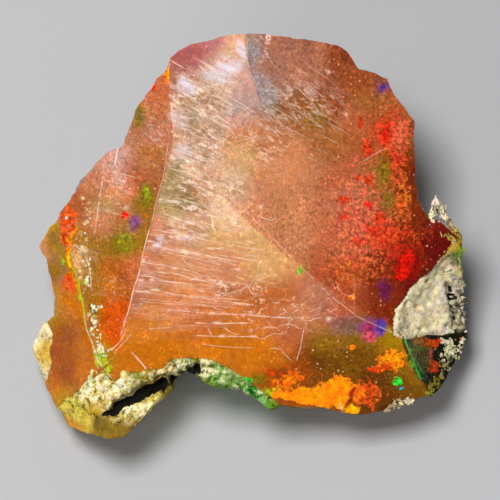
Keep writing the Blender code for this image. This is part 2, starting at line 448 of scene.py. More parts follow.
def fan_lances(x, y, lane, seed):
    """Height share, 0 to 1, of one set of lances.

    lane number = floor(arc / lane); height = exp(-((arc share - middle) / width)^2)
    plus a straight shoulder on one side, times a fade at the lance's own two ends.
    """
    away, arc = fan_coordinates(x, y)
    spot = np.stack([away * 0.22, arc * 0.9, np.full_like(x, seed)], axis=-1)
    arc = arc + 0.3 * noise(spot, 1.0, seed) + 0.1 * noise(spot * 3.1, 1.0, seed + 1)
    number = np.floor(arc / lane)
    share = arc / lane - number
    code = flat_points(number, np.zeros_like(x))
    middle = 0.35 + 0.3 * hashed(code, seed + 2)
    start = 3.5 * hashed(code, seed + 3) ** 2
    length = 2.5 + 13.0 * hashed(code, seed + 4) ** 1.3
    along = x - line_at(LEFT_RIDGE, y)
    alive = ramp(along, start - 0.1, start + 0.5)
    alive = alive * (1 - ramp(along, start + length * 0.5, start + length))
    sharp = np.exp(-(((share - middle) / 0.17) ** 2))
    shoulder = 0.45 * np.clip(1 - (share - middle) / 0.5, 0, 1) * (share > middle)
    return (sharp + shoulder) * alive


HACKLE_EDGE = [(-20.0, 0.0), (5.6, -3.0), (8.4, -1.9), (9.5, -1.2), (11.2, -1.4), (13.0, -1.5),
               (14.4, -0.8), (16.0, -0.3), (20.0, -0.2)]  # height, and where the hackle ends
FACET_EDGE = [(-20.0, 0.0), (5.6, -3.0), (8.4, -2.5), (9.8, -2.3), (10.8, -2.0), (11.3, -1.0),
              (11.8, 0.4), (12.2, 1.2), (13.2, 0.8), (14.4, 0.4), (16.0, -0.1), (20.0, -0.2)]


def central_share(x, y, edge=HACKLE_EDGE):
    """1 on the hackled face and 0 on the right one: by the ridge below, by a line above."""
    right = np.minimum(flat_face("right", x, y), shell_face("right_face", x, y))
    past_ridge = (right - flat_face("central", x, y)) / 0.38
    torn = 0.45 * noise(flat_points(x, y), 0.9, 77) * (1 - ramp(y, 10.4, 11.4))
    past_edge = line_at(edge, y) - x + torn
    upper = ramp(y, 5.0, 6.6)
    return ramp(past_ridge * (1 - upper) + past_edge * upper, -0.12, 0.12)


def left_share(x, y):
    """1 on the two faces at the left of the left ridge."""
    left = np.minimum(flat_face("left", x, y), flat_face("amber", x, y))
    return 1 - ramp(left - broken_front(x, y), 0.02, 0.12)


def hackle(x, y):
    """Share of hackle, 0 to 1 or a little more, over the hackled faces."""
    lines = np.maximum(fan_lances(x, y, LANE, 41), 0.8 * fan_lances(x, y, LANE * 0.63, 51))
    lines = np.maximum(lines, 0.9 * fan_lances(x, y, LANE * 1.9, 61))
    spot = flat_points(x, y)
    patchy = ramp(rough_noise(spot, 3.5, 3, 71), -0.9, 0.5)
    face = (0.14 + 0.86 * central_share(x, y)) * (1 - left_share(x, y))
    faint = 1 - 0.8 * ramp(x - line_at(LEFT_RIDGE, y), 5.0, 15.0)
    high_up = 1.0 + 0.8 * ramp(y, 4.0, 8.0)
    ends = ramp(y, -10.5, -5.5) * (1 - ramp(y, 14.6, 16.2))
    return lines * patchy * face * faint * high_up * ends


upward = np.linspace(-9.0, 9.0, 200)
print("highest hackle at x = -6:", hackle(np.full(200, -6.0), upward).max().round(2))

# %% [markdown]
# ## Low relief of the faces
#
# Between the lances the faces aren't dead flat. Slow ripples run round the point where
# each break began, chips eat the edges, and the left edge is lumpy. High up, a ledge
# that is a fifth of a millimetre high parts the hackled face from the right one.

# %% Ripples, chips and lumps
RIPPLE_START = (-13.0, 17.0)
RIPPLE_PITCH = 4.6
CHIPS = [  # place, radius and depth of the shells knocked off the edges
    ((-7.9, 15.9), 1.1, 0.45), ((-10.6, 9.9), 1.7, 0.55), ((-12.7, 7.5), 0.9, 0.5),
    ((-17.3, 2.2), 1.2, 0.5), ((-18.7, -0.7), 0.8, 0.4), ((-17.7, -3.9), 1.3, 0.5),
    ((9.6, 16.6), 1.0, 0.45), ((12.8, 13.9), 1.3, 0.5), ((15.2, 9.9), 0.9, 0.4),
    ((15.6, 5.0), 1.3, 0.4), ((5.9, 17.9), 0.9, 0.35), ((1.6, 18.6), 0.8, 0.3),
    ((16.6, 1.9), 0.9, 0.5), ((12.3, -15.9), 1.0, 0.35), ((7.4, -15.9), 1.2, 0.3),
    ((16.3, -14.3), 0.9, 0.4),
]
LEDGE = [(11.6, 1.3), (12.2, 1.1), (13.2, 0.8), (14.4, 0.4), (16.0, -0.1), (18.2, -0.2)]
LEDGE_HEIGHT = 0.22


def deepest_bowl(points, bowls):
    """Depth of the deepest bowl: depth * (1 - (distance / radius)^2), or 0 outside all."""
    depth = np.zeros(points.shape[:-1])
    for centre, radius, deep in bowls:
        gap = np.linalg.norm(points - np.array(centre), axis=-1)
        depth = np.maximum(depth, deep * (1 - (gap / radius) ** 2))
    return depth


def chipped(x, y):
    """Depth of the chips along the edges, their outlines bent by noise."""
    return deepest_bowl(np.stack(wavy(x, y, 0.55, 0.9, 81), axis=-1), CHIPS)


def ledge(x, y):
    """A step up to the left of the ledge line that dies away over a few millimetres."""
    wx, wy = wavy(x, y, 0.12, 0.8, 87)
    left_of = line_at(LEDGE, wy) - wx
    fade = np.exp(-np.maximum(left_of, 0.0) / 2.4) * ramp(y, 11.2, 12.8)
    return LEDGE_HEIGHT * ramp(left_of, -0.06, 0.1) * fade


CREASE = [(-15.6, 1.0), (-16.0, 0.4), (-16.2, -0.8), (-16.4, -2.1), (-15.8, -3.1), (-15.4, -4.1),
          (-15.1, -5.8), (-14.7, -8.2), (-14.1, -9.9), (-13.7, -11.6)]  # between left and amber face
CRUMB_STRIP = [(-14.6, 4.0), (-14.4, 1.4), (-14.9, -0.8), (-14.9, -3.6), (-14.1, -6.6),
               (-13.8, -8.2), (-13.5, -9.8), (-12.9, -10.6)]
LUMPS = [  # place, radius and height of the knobs and hollows at the left edge
    (-19.2, -0.6, 1.5, 0.55), (-18.1, 1.0, 1.0, 0.4), (-16.8, 1.6, 1.5, 0.45),
    (-17.9, -2.2, 1.1, -0.45), (-16.9, -3.9, 1.0, 0.3), (-15.0, 0.4, 1.1, -0.25),
    (-14.2, 2.6, 1.2, 0.25), (-13.9, -1.6, 0.9, 0.22), (-17.0, -5.9, 1.2, 0.18),
    (-9.6, 12.6, 1.4, 0.25), (-10.8, 7.4, 1.6, 0.22),
]


def to_stretch(start, end, x, y):
    """Distance to a straight stretch that is cut off at its ends, and its side, 1 or -1.

    share along = (way to the point . stretch) / stretch^2, kept from 0 to 1. The side is
    the sign of the cross product of the stretch with the way to the point.
    """
    dx, dy = end[0] - start[0], end[1] - start[1]
    away_x, away_y = x - start[0], y - start[1]
    share = np.clip((away_x * dx + away_y * dy) / (dx * dx + dy * dy), 0.0, 1.0)
    side = np.where(dx * away_y - dy * away_x > 0, 1.0, -1.0)
    return np.hypot(away_x - share * dx, away_y - share * dy), side


def near_line(line, x, y):
    """Distance to the nearest stretch of a drawn line."""
    distance = np.full(x.shape, FAR)
    for start, end in zip(line, line[1:]):
        distance = np.minimum(distance, to_stretch(start, end, x, y)[0])
    return distance


def crumbs(x, y):
    """White crumbs stuck beside the crease: domes of a cell pattern, near the strip only."""
    wx, wy = wavy(x, y, 0.3, 0.9, 97)
    near, kept = cells(flat_points(x, y), 0.55, 98)
    strip = 1 - ramp(near_line(CRUMB_STRIP, wx, wy), 0.25, 0.75)
    return strip * (kept > 0.55) * (1 - ramp(near, 0.22, 0.52))


def low_relief(x, y):
    """Ripples, lumps, crumbs and gentle bumps, added to the height of the front."""
    spot = flat_points(x, y)
    reach = np.hypot(x - RIPPLE_START[0], y - RIPPLE_START[1]) + 0.8 * noise(spot, 5.0, 91)
    relief = 0.018 * np.sin(reach * FULL_TURN / RIPPLE_PITCH)
    relief += 0.02 * rough_noise(spot, 1.2, 3, 93)
    left = left_share(x, y)
    relief += left * ramp(-x, 10.5, 16.5) * 0.1 * rough_noise(spot, 1.5, 3, 95)
    wx, wy = wavy(x, y, 0.25, 0.9, 99)
    for lump_x, lump_y, radius, high in LUMPS:
        relief += left * high * (1 - ramp(np.hypot(wx - lump_x, wy - lump_y) / radius, 0.1, 1.0))
    relief -= 0.16 * np.exp(-((near_line(CREASE, wx, wy) / 0.2) ** 2))
    return relief + 0.16 * crumbs(x, y) + ledge(x, y)


def opal_front(x, y):
    """Height of the opal's front with its relief and hackle."""
    return broken_front(x, y) + low_relief(x, y) - chipped(x, y) + LANCE_HEIGHT * hackle(x, y)


print("front with its relief at the middle:", opal_front(np.zeros(1), np.zeros(1)).round(2))

# %% [markdown]
# ## A closed skin from two grids
#
# The front has to be fine and even, so it takes a square grid that is bent round to the
# outline: the squares become rings, and a point of ring f lies at f times the outline's
# radius. From the last ring a skirt runs down the side and closes in one point below.
# Each skirt point is the end of a ray from the middle of the stone, as long as it stays
# inside the opal.

# %% Grid helpers
def bent_square(half_count):
    """Ring share 0 to 1 and angle for each point of a square grid bent to a disc."""
    line = np.linspace(-1.0, 1.0, 2 * half_count + 1)
    a, b = np.meshgrid(line, line, indexing="ij")
    wide = np.abs(a) >= np.abs(b)
    safe_a, safe_b = np.where(a == 0, 1.0, a), np.where(b == 0, 1.0, b)
    turn = np.where(wide, math.pi / 4 * b / safe_a + math.pi * (a < 0),
                    math.pi / 2 - math.pi / 4 * a / safe_b + math.pi * (b < 0))
    turn = np.where((a == 0) & (b == 0), 0.0, turn)
    return np.maximum(np.abs(a), np.abs(b)), turn


def unit(vectors):
    """Vectors shortened to a length of 1."""
    return vectors / np.maximum(np.linalg.norm(vectors, axis=-1, keepdims=True), 1e-9)


def numbered(rows, columns):
    """The numbers 0, 1, 2 and so on as a grid."""
    return np.arange(rows * columns).reshape(rows, columns)


def square_edge(count):
    """Indices of the outer points of a count by count grid, anticlockwise in a, b."""
    index = numbered(count, count)
    sides = [index[-1, :-1], index[::-1, -1][:-1], index[0, ::-1][:-1], index[:-1, 0]]
    return np.concatenate(sides)


def square_quads(count):
    """The quads of a count by count grid, facing along +z."""
    index = numbered(count, count)
    quads = [index[:-1, :-1], index[1:, :-1], index[1:, 1:], index[:-1, 1:]]
    return np.stack(quads, axis=-1).reshape(-1, 4)


def band_quads(rings):
    """Quads between each closed ring and the next one below it, facing outward."""
    upper, lower = np.concatenate(rings[:-1]), np.concatenate(rings[1:])
    next_upper = np.concatenate([np.roll(ring, -1) for ring in rings[:-1]])
    next_lower = np.concatenate([np.roll(ring, -1) for ring in rings[1:]])
    return np.stack([upper, lower, next_lower, next_upper], axis=-1)


def tips_round(centre, ring, centre_below):
    """Triangles from one centre point to every side of a ring, facing outward."""
    middle = np.full_like(ring, centre)
    corners = (ring, middle) if centre_below else (middle, ring)
    return np.stack([*corners, np.roll(ring, -1)], axis=-1)


def way_of(tilt, turn):
    """Unit vectors at a tilt above the level plane and a turn round the z axis."""
    tilt, turn = np.broadcast_arrays(tilt, turn)
    level = np.cos(tilt)
    return np.stack([level * np.cos(turn), level * np.sin(turn), np.sin(tilt)], axis=-1)


def closed_mesh(name, points, quads, tips, crease_deg):
    """A smooth-shaded mesh from quads and triangle tips, sharp past the crease angle."""
    mesh = bpy.data.meshes.new(name)
    sides = np.concatenate([quads.ravel(), tips.ravel()])
    starts = [np.arange(len(quads)) * 4, quads.size + np.arange(len(tips)) * 3]
    starts = np.concatenate(starts)
    mesh.vertices.add(len(points))
    mesh.vertices.foreach_set("co", standing(points).astype(np.float32).ravel())
    mesh.loops.add(len(sides))
    mesh.loops.foreach_set("vertex_index", sides.astype(np.int32))
    mesh.polygons.add(len(starts))
    mesh.polygons.foreach_set("loop_start", starts.astype(np.int32))
    mesh.update(calc_edges=True)
    mesh.validate()
    mesh.shade_smooth()
    mesh.set_sharp_from_angle(angle=math.radians(crease_deg))
    return new_object(name, mesh)


print("a grid of 3 by 3 has", len(square_quads(3)), "quads and", len(square_edge(3)), "edge points")

# %% The edge of the front and the skirt below it
MIDDLE = np.array((0.0, 0.0, GIRTH_Z))
LONGEST_RAY = 40.0
DENTS = [  # shells on the side and the back: middle, radius, depth
    ((2.0, 18.6, -4.5), 7.5, 1.3), ((-13.6, 9.3, -4.0), 6.5, 1.2), ((15.6, 9.0, -4.5), 6.5, 1.0),
    ((-18.4, -3.2, -3.6), 4.0, 0.7), ((9.8, 16.4, -1.0), 4.2, 0.7), ((-6.0, 17.8, 0.5), 3.6, 0.6),
    ((11.0, -16.2, -2.4), 4.6, 0.8), ((18.6, -12.6, -2.6), 3.6, 0.6),
    ((-11.5, 10.5, 1.5), 3.2, 0.5),
]


def edge_of_front(turn, held_by_rind):
    """Radius at which the broken front ends: at the nodule's skin or at the rock."""
    edge = outline_radius(turn)

    def held(radius):
        x, y = radius * np.cos(turn), radius * np.sin(turn)
        front = broken_front(x, y)
        inside = in_blank(x, y, front, edge)
        return inside & (rind_height(x, y) < front) if held_by_rind else inside

    return last_inside(held, edge * 1.2)


def smoothed_ring(radius, turns=9):
    """The ring with its small corners averaged away, for the rings inside it."""
    width = len(radius) // 60
    for _ in range(turns):
        radius = (np.roll(radius, width) + radius + np.roll(radius, -width)) / 3
    return radius


def ray_ends(way, inside):
    """Where rays from the middle of the stone leave the inside of something."""

    def held(length):
        return inside(*np.moveaxis(MIDDLE + way * length[..., None], -1, 0))

    reach = last_inside(held, np.full(way.shape[:-1], LONGEST_RAY))
    return MIDDLE + way * reach[..., None]


def skirt_points(turn, start_radius, start_z, rows, inside):
    """Rows of ray ends from the edge of the front down to straight below the middle."""
    start_tilt = np.arctan2(start_z - MIDDLE[2], start_radius)
    share = np.linspace(0.0, 1.0, rows + 1)[1:-1, None] ** 1.15
    tilt = start_tilt * (1 - share) - math.pi / 2 * share
    return ray_ends(way_of(tilt, turn), inside)


def dented(points):
    """Move side points towards the middle by the deepest dent's bowl, and roughen them."""
    rough = 0.2 * rough_noise(points, 2.6, 4, 101)
    return points + unit(MIDDLE - points) * (deepest_bowl(points, DENTS) - rough)[..., None]


print("the front ends", edge_of_front(np.zeros(1), held_by_rind=True).round(1), "mm to the right")

# %% The opal as one mesh
OPAL_HALF = 120  # squares from the middle to the edge of the front's grid
OPAL_COUNT = 2 * OPAL_HALF + 1
OPAL_SKIRT = 38  # rows down the side
TUCKED_RADIUS = 15.5  # where the opal goes under the wedge of rock, it stays inside this
HIDDEN_DEPTH = -4.0


def front_grid():
    """Points of the opal's front, with the places in them and the turns of its rim."""
    share, turn = bent_square(OPAL_HALF)
    rim = square_edge(OPAL_COUNT)
    rim_turn = turn.ravel()[rim]
    rim_radius = edge_of_front(rim_turn, held_by_rind=True)
    inner_radius = smoothed_ring(rim_radius)
    outer = np.interp(turn, rim_turn, rim_radius, period=FULL_TURN)
    inner = np.interp(turn, rim_turn, inner_radius, period=FULL_TURN)
    radius = share * (inner + (outer - inner) * share**6)
    x, y = radius * np.cos(turn), radius * np.sin(turn)
    z = opal_front(x, y)
    under = rind_height(x, y)
    wedge = ramp(in_wedge(x, y), -0.06, 0.06)
    tucked = np.minimum(1.0, TUCKED_RADIUS / np.maximum(radius, 1e-6))
    x, y = x * (1 + wedge * (tucked - 1)), y * (1 + wedge * (tucked - 1))
    z = z * (1 - wedge) + wedge * (np.minimum(under, HIDDEN_DEPTH) + 0.3)
    return np.stack([x, y, z], axis=-1).reshape(-1, 3), rim, rim_turn


def build_opal():
    """The opal: its fine front, its side and its hidden underside, as one closed mesh."""
    front, rim, rim_turn = front_grid()
    edge = outline_radius(rim_turn)

    def inside(px, py, pz):
        skin = in_blank(px, py, pz, edge)
        return skin & (pz > rind_height(px, py)) & (pz < broken_front(px, py) + 1.0)

    x, y, z = front[rim].T
    skirt = skirt_points(rim_turn, np.hypot(x, y), z, OPAL_SKIRT, inside)
    fade = ramp(np.arange(len(skirt)), -0.5, 4.0)[:, None, None]
    bare = 1 - ramp(in_wedge(skirt[..., 0], skirt[..., 1]), -0.1, 0.1)[..., None]
    skirt = skirt + (dented(skirt) - skirt) * fade * bare
    points = np.concatenate([front, skirt.reshape(-1, 3), [UNDERSIDE[0]]])
    rings = [rim, *(len(front) + numbered(*skirt.shape[:2]))]
    quads = np.concatenate([square_quads(OPAL_COUNT), band_quads(rings)])
    tips = tips_round(len(points) - 1, rings[-1], centre_below=True)
    return closed_mesh("opal_body", points, quads, tips, crease_deg=50.0), points


opal, opal_points = build_opal()
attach(opal, "root")
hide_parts("precious_opal")
print("opal:", len(opal.data.polygons), "faces,", len(opal_points), "points")

# %% [markdown]
# ## The host rock
#
# The rind is a closed skin of its own: a polar grid whose rows start under the opal,
# run out along the contact, climb to the front where the rock shows, and go down the
# side to the flat base. Its grains, lumps and pits are pushed out along the surface's
# own normals, and only where the rock is bare.

# %% Rock relief
LUMP_HEIGHT, LUMP_PITCH = 0.3, 2.4
GRAIN_PITCH = 0.46
PIT_DEPTH, PIT_PITCH = 0.42, 1.05
CREVICE = [
    (-12.9, -15.9), (-11.5, -15.1), (-10.3, -14.45), (-9.0, -13.8), (-7.6, -13.2), (-6.0, -12.5),
    (-4.8, -11.9),
]
CREVICE_DEPTH, CREVICE_REACH = 1.5, 0.48
SMOOTH_PLACES = [(-19.4, -9.8, 1.3, 2.8, 0.75), (-14.4, -18.0, 4.6, 1.5, 0.85)]  # nub, lump
SPLIT = [(18.3, -4.4), (18.5, -5.6), (18.6, -6.8), (18.9, -8.0), (19.0, -9.0)]  # gap in the wedge
SPLIT_DEPTH = 0.7


def soft_spots(spots, x, y):
    """The strongest of some soft ellipses: place, half width, half height, strength."""
    total = np.zeros_like(x)
    for spot_x, spot_y, wide, high, power in spots:
        reach = np.hypot((x - spot_x) / wide, (y - spot_y) / high)
        total = np.maximum(total, power * (1 - ramp(reach, 0.35, 1.15)))
    return total


def rock_parts(points):
    """Heights of lumps, of grains (1 - distance^2 domes), and of deep pits."""
    rough = 1 - soft_spots(SMOOTH_PLACES, points[..., 0], points[..., 1])
    lumps = LUMP_HEIGHT * rough_noise(points, LUMP_PITCH, 3, 201) * (0.4 + 0.6 * rough)
    near, size = cells(points, GRAIN_PITCH, 211)
    grains = (0.06 + 0.14 * size) * np.clip(1 - near * near * 1.6, 0, 1) * rough
    near, deep = cells(points, PIT_PITCH, 221)
    pits = -PIT_DEPTH * (deep > 0.62) * np.clip(1 - (near / 0.42) ** 2, 0, 1) * rough
    wx, wy = wavy(points[..., 0], points[..., 1], 0.25, 0.6, 225)
    split = 1 - ramp(near_line(SPLIT, wx, wy), 0.16, 0.42)
    split = split * ramp(noise(points, 0.45, 227), -0.45, -0.05)
    pits = np.minimum(pits, -SPLIT_DEPTH * split * ramp(points[..., 2], -6.0, -4.0))
    return lumps, grains, pits


def crevice(x, y, z):
    """Depth of the crevice over the lower lump, on the front only."""
    wx, wy = wavy(*wavy(x, y, 0.25, 0.9, 231), 0.2, 0.32, 233)
    bowl = np.exp(-((near_line(CREVICE, wx, wy) / CREVICE_REACH) ** 2))
    return CREVICE_DEPTH * bowl * ramp(z, -4.0, -1.0)


def rock_relief(points):
    """All of the rock's relief, pushed out along its normals."""
    return sum(rock_parts(points)) - 0.1 - crevice(*np.moveaxis(points, -1, 0))


def grid_normals(points):
    """Unit normals of a closed ring grid: cross product of the steps along both ways."""
    down = np.gradient(points, axis=0)
    round_way = np.roll(points, -1, axis=1) - np.roll(points, 1, axis=1)
    return unit(np.cross(down, round_way))


print("the crevice is", crevice(*np.array(CREVICE[2:3]).T, np.zeros(1)).round(2), "mm deep")

# %% The rock's upper side and where its own side starts
WALL_STEPS = 160
LOWEST_TILT = -1.2
WEATHERED_REACH = 0.6  # the bare rock's edges are rounded over this distance
WEATHERED_RISE = 0.06
TUCK_DEPTH = 0.14  # beside the wedge the rock lies this far under the opal


def floor_height(y):
    """Height in the drawing of the floor that the leaned stone is cut flat on."""
    lean = math.radians(LEAN_DEG)
    return -(BASE_DEPTH + y * math.sin(lean)) / math.cos(lean)


def rock_top(x, y):
    """Height of the rock's upper side: bare front, or the contact under the opal."""
    front, under = broken_front(x, y), rind_height(x, y)
    inside = in_wedge(x, y)
    wedge = ramp(inside, -0.7, -0.35)
    ways = WEATHERED_REACH * way_of(0.0, np.arange(8) * math.pi / 4)
    around = [broken_front(x + way_x, y + way_y) for way_x, way_y, _ in ways]
    weathered = np.minimum(np.mean(around, axis=0), front + WEATHERED_RISE)
    front = front + (weathered - front) * ramp(inside, 0.0, 0.3)
    free = ramp(inside, 0.0, 0.5)
    bare = ramp(under - front, -0.1, 0.25) * (1 - wedge * (1 - free))
    tucked = TUCK_DEPTH * ramp(inside, -0.75, -0.7) * (1 - ramp(inside, -0.05, 0.2))
    top = np.minimum(front - tucked, under * (1 - wedge) + FAR * wedge)
    return top, np.maximum(bare, free)


def rock_start(turn):
    """Radius and height at which the rock leaves the opal on the side of the stone."""
    edge = outline_radius(turn)
    top_radius = edge_of_front(turn, held_by_rind=False)
    top_z = broken_front(top_radius * np.cos(turn), top_radius * np.sin(turn))
    tilt_top = np.arctan2(top_z - MIDDLE[2], top_radius)
    tilt = tilt_top + (LOWEST_TILT - tilt_top) * np.linspace(0, 1, WALL_STEPS)[:, None]
    wall = ray_ends(way_of(tilt, turn), lambda x, y, z: in_blank(x, y, z, edge))
    rock = rind_height(wall[..., 0], wall[..., 1]) >= wall[..., 2]
    rock |= in_wedge(wall[..., 0], wall[..., 1]) > 0.05
    free = np.logical_and.accumulate(rock[::-1], axis=0)[::-1]
    first = np.argmax(free, axis=0)
    start = np.take_along_axis(wall, first[None, :, None], axis=0)[0]
    return np.hypot(start[:, 0], start[:, 1]), start[:, 2]


print("the floor lies", round(-floor_height(0.0), 2), "mm below the middle of the drawing")

# %% The rock as one mesh
ROCK_COLUMNS = 880
ROCK_TOP_ROWS = 46
ROCK_SIDE_ROWS = 58


def rock_grid():
    """Rings of points over the top and down the side, with the share of bare rock."""
    turn = np.linspace(-math.pi, math.pi, ROCK_COLUMNS, endpoint=False)
    edge = outline_radius(turn)
    start_radius, start_z = rock_start(turn)
    share = np.concatenate([np.linspace(0.1, 0.52, 5), np.linspace(0.56, 1.0, ROCK_TOP_ROWS)])
    radius = share[:, None] * start_radius
    x, y = radius * np.cos(turn), radius * np.sin(turn)
    z, bare = rock_top(x, y)
    z = np.minimum(z, np.where(share[:, None] > 0.999, start_z, FAR))

    def inside(px, py, pz):
        return in_blank(px, py, pz, edge) & (pz > floor_height(py))

    side = skirt_points(turn, start_radius, start_z, ROCK_SIDE_ROWS, inside)
    bare = np.concatenate([bare, np.ones(side.shape[:2])])
    grid = np.concatenate([np.stack([x, y, z], axis=-1), side])
    return grid, np.where(bare > 0.02, bare, 0.0)


def build_rock():
    """The host rock as one closed mesh, from a point on top to one below."""
    grid, bare = rock_grid()
    push = rock_relief(grid) * bare - GAP * (1 - bare)
    grid = grid + grid_normals(grid) * push[..., None]
    grid[..., 2] = np.maximum(grid[..., 2], floor_height(grid[..., 1]))
    middle, below = (0.0, 0.0, UNDERSIDE[0][2] - GAP), (0.0, 0.0, floor_height(0.0))
    points = np.concatenate([[middle], grid.reshape(-1, 3), [below]])
    rings = 1 + numbered(*grid.shape[:2])
    cap = tips_round(0, rings[0], centre_below=False)
    foot = tips_round(len(points) - 1, rings[-1], centre_below=True)
    tips = np.concatenate([cap, foot])
    return closed_mesh("rock_rind", points, band_quads(rings), tips, crease_deg=70.0), points


rock, rock_points = build_rock()
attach(rock, "root")
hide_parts("host_rock")
print("host rock:", len(rock.data.polygons), "faces,", len(rock_points), "points")

# %% [markdown]
# ## Flakes of rock at the edge
#
# Where the rind split away, thin scales of rock still stand at the right tip and along
# the dark corner. Each is a ball of a few dozen faces with uneven corners, stretched
# along the edge, flattened, and sunk partly into the stone so that it has hold.

# %% Lines of flakes
FLAKE_LINES = [  # line, number, spread, length, depth below the front, disorder, flatness
    ([(17.0, 3.3), (17.6, 2.3), (18.3, 1.1), (18.9, 0.3), (19.2, -0.7)], 44, 0.1, 0.6, 0.9, 0.4, 1.0),
    ([(16.9, 3.1), (16.5, 2.0), (16.8, 1.2), (17.5, 0.3), (18.4, -0.5)], 36, 0.14, 0.5, 0.6, 0.5, 1.0),
    ([(18.0, 0.3), (18.7, -0.4), (19.2, -1.3)], 34, 0.16, 0.34, 0.05, 0.6, 1.0),
    ([(19.3, -3.0), (19.3, -6.0), (19.5, -8.8)], 56, 0.22, 0.34, 0.6, 0.9, 1.0),
    ([(19.5, -9.0), (18.9, -10.4), (18.0, -11.8), (17.2, -12.8), (16.2, -13.9)],
     60, 0.32, 0.36, 0.2, 1.5, 0.6),
    ([(17.7, -9.3), (18.4, -10.3), (17.6, -11.6)], 44, 0.45, 0.34, 0.0, 1.5, 0.6),
    ([(14.9, -14.6), (13.9, -14.9), (12.8, -15.4)], 44, 0.24, 0.27, 0.05, 1.2, 0.6),
    ([(-14.2, -6.1), (-13.9, -6.5), (-13.4, -6.3)], 8, 0.16, 0.26, 0.05, 1.5, 0.25),
    ([(-14.0, -7.4), (-13.9, -8.0)], 5, 0.14, 0.32, 0.05, 1.5, 0.25),
    ([(-13.9, -8.2), (-13.7, -9.2), (-13.3, -10.2), (-12.7, -10.9)], 24, 0.3, 0.18, 0.03, 1.5, 0.25),
    ([(-15.4, -1.0), (-14.7, -2.0), (-14.5, -3.0)], 10, 0.34, 0.16, 0.02, 1.5, 0.25),
    ([(-14.6, -3.6), (-14.5, -4.2)], 5, 0.1, 0.26, 0.04, 1.5, 0.25),
    ([(-14.4, 3.2), (-14.5, 1.4), (-15.0, 0.2)], 7, 0.24, 0.2, 0.0, 1.5, 0.25),
]
print("flakes to make:", sum(count for _, count, *_ in FLAKE_LINES))

# %% The flakes as one mesh
FLAKE_RINGS, FLAKE_SIDES = 3, 6
FLAKE_SHAPE = np.array([1.0, 0.42, 0.2])  # length, width and thickness


def along_line(line, share):
    """Places at shares 0 to 1 of the length of a line, and the line's way there."""
    line = np.array(line)
    ways = np.diff(line, axis=0)
    steps = np.concatenate([[0.0], np.cumsum(np.hypot(*ways.T))])
    stretch = np.clip(np.searchsorted(steps, share * steps[-1], side="right") - 1, 0, len(ways) - 1)
    places = [np.interp(share * steps[-1], steps, line[:, k]) for k in (0, 1)]
    return np.stack(places, axis=-1), ways[stretch] / np.hypot(*ways[stretch].T)[:, None]


def unit_ball():
    """Points of a ball of radius 1: rings from top to bottom, then the two poles."""
    tilt = np.linspace(math.pi / 2, -math.pi / 2, FLAKE_RINGS + 2)[1:-1, None]
    turn = np.linspace(0, FULL_TURN, FLAKE_SIDES, endpoint=False)
    ball = way_of(tilt, turn).reshape(-1, 3)
    return np.concatenate([ball, [[0.0, 0.0, 1.0], [0.0, 0.0, -1.0]]])


def flakes_along(line, count, spread, length, below, disorder, flatness, chance):
    """The points of one line's flakes, as count x points x 3.

    Each point is centre + a * long + b * side + c * thick, where long follows the line
    roughly, side is at right angles to it, and thick to both.
    """
    place, way = along_line(line, (np.arange(count) + chance.random(count)) / count)
    place = place + spread * chance.normal(size=(count, 2)) * 0.7
    z = broken_front(*place.T) - below * (0.25 + 1.1 * chance.random(count))
    long = np.append(way, np.zeros((count, 1)), axis=1)
    long = unit(long + disorder * chance.normal(size=(count, 3)))
    side = unit(np.cross(long, chance.normal(size=(count, 3))))
    axes = np.stack([long, side, np.cross(long, side)], axis=1)
    shape = unit_ball()[None] * (0.7 + 0.6 * chance.random((count, len(unit_ball()), 1)))
    halves = length * FLAKE_SHAPE**flatness * (0.5 + 0.9 * chance.random((count, 3)))
    centre = np.append(place, z[:, None], axis=1)
    return (shape * halves[:, None, :]) @ axes + centre[:, None, :]


def build_flakes():
    """All flakes as one mesh of closed little balls."""
    chance = np.random.default_rng(67)
    flakes = np.concatenate([flakes_along(*strip, chance) for strip in FLAKE_LINES])
    rings = numbered(FLAKE_RINGS, FLAKE_SIDES)
    cap = tips_round(rings.size, rings[0], centre_below=False)
    foot = tips_round(rings.size + 1, rings[-1], centre_below=True)
    shift = (np.arange(len(flakes)) * flakes.shape[1])[:, None, None]
    quads = (band_quads(rings)[None] + shift).reshape(-1, 4)
    tips = (np.concatenate([cap, foot])[None] + shift).reshape(-1, 3)
    points = flakes.reshape(-1, 3)
    return closed_mesh("rock_flakes", points, quads, tips, crease_deg=20.0), points


flakes, flake_points = build_flakes()
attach(flakes, "root")
print("rock flakes:", len(flakes.data.polygons), "faces")

# %% [markdown]
# ## Nodes in a few words
#
# A material is a tree of small nodes. `add` puts one in a tree and fills or wires its
# inputs, `wire` finds the tree by itself, and the other helpers each make one sum, one
# mix or one pattern. Colours are written as screen values from 0 to 255, because that is
# how they are mixed, and are turned into the linear light that a shader works in.

# %% Screen colours
def tone(red, green, blue):
    """Linear light of a screen colour: ((c / 255 + 0.055) / 1.055)^2.4, straight near 0."""
    share = np.array((red, green, blue)) / 255.0
    return np.where(share <= 0.04045, share / 12.92, ((share + 0.055) / 1.055) ** 2.4)


def screen(red, green, blue):
    """A screen colour as the four linear numbers that a colour socket holds."""
    return (*tone(red, green, blue).tolist(), 1.0)


print("peach in linear light:", tone(216, 151, 107).round(3))

# %% Nodes that do one sum
def add(tree, kind, inputs=None, **settings):
    """Put a node in a tree, and set or wire the inputs that are named."""
    made = tree.nodes.new("ShaderNode" + kind)
    for name, value in settings.items():
        setattr(made, name, value)
    for key, value in (inputs or {}).items():
        if isinstance(value, bpy.types.NodeSocket):
            tree.links.new(value, made.inputs[key])
        else:
            made.inputs[key].default_value = value
    return made


def wire(kind, inputs, **settings):
    """Put a node in the tree that its inputs come from."""
    tree = next(a.id_data for a in inputs.values() if isinstance(a, bpy.types.NodeSocket))
    return add(tree, kind, inputs, **settings)


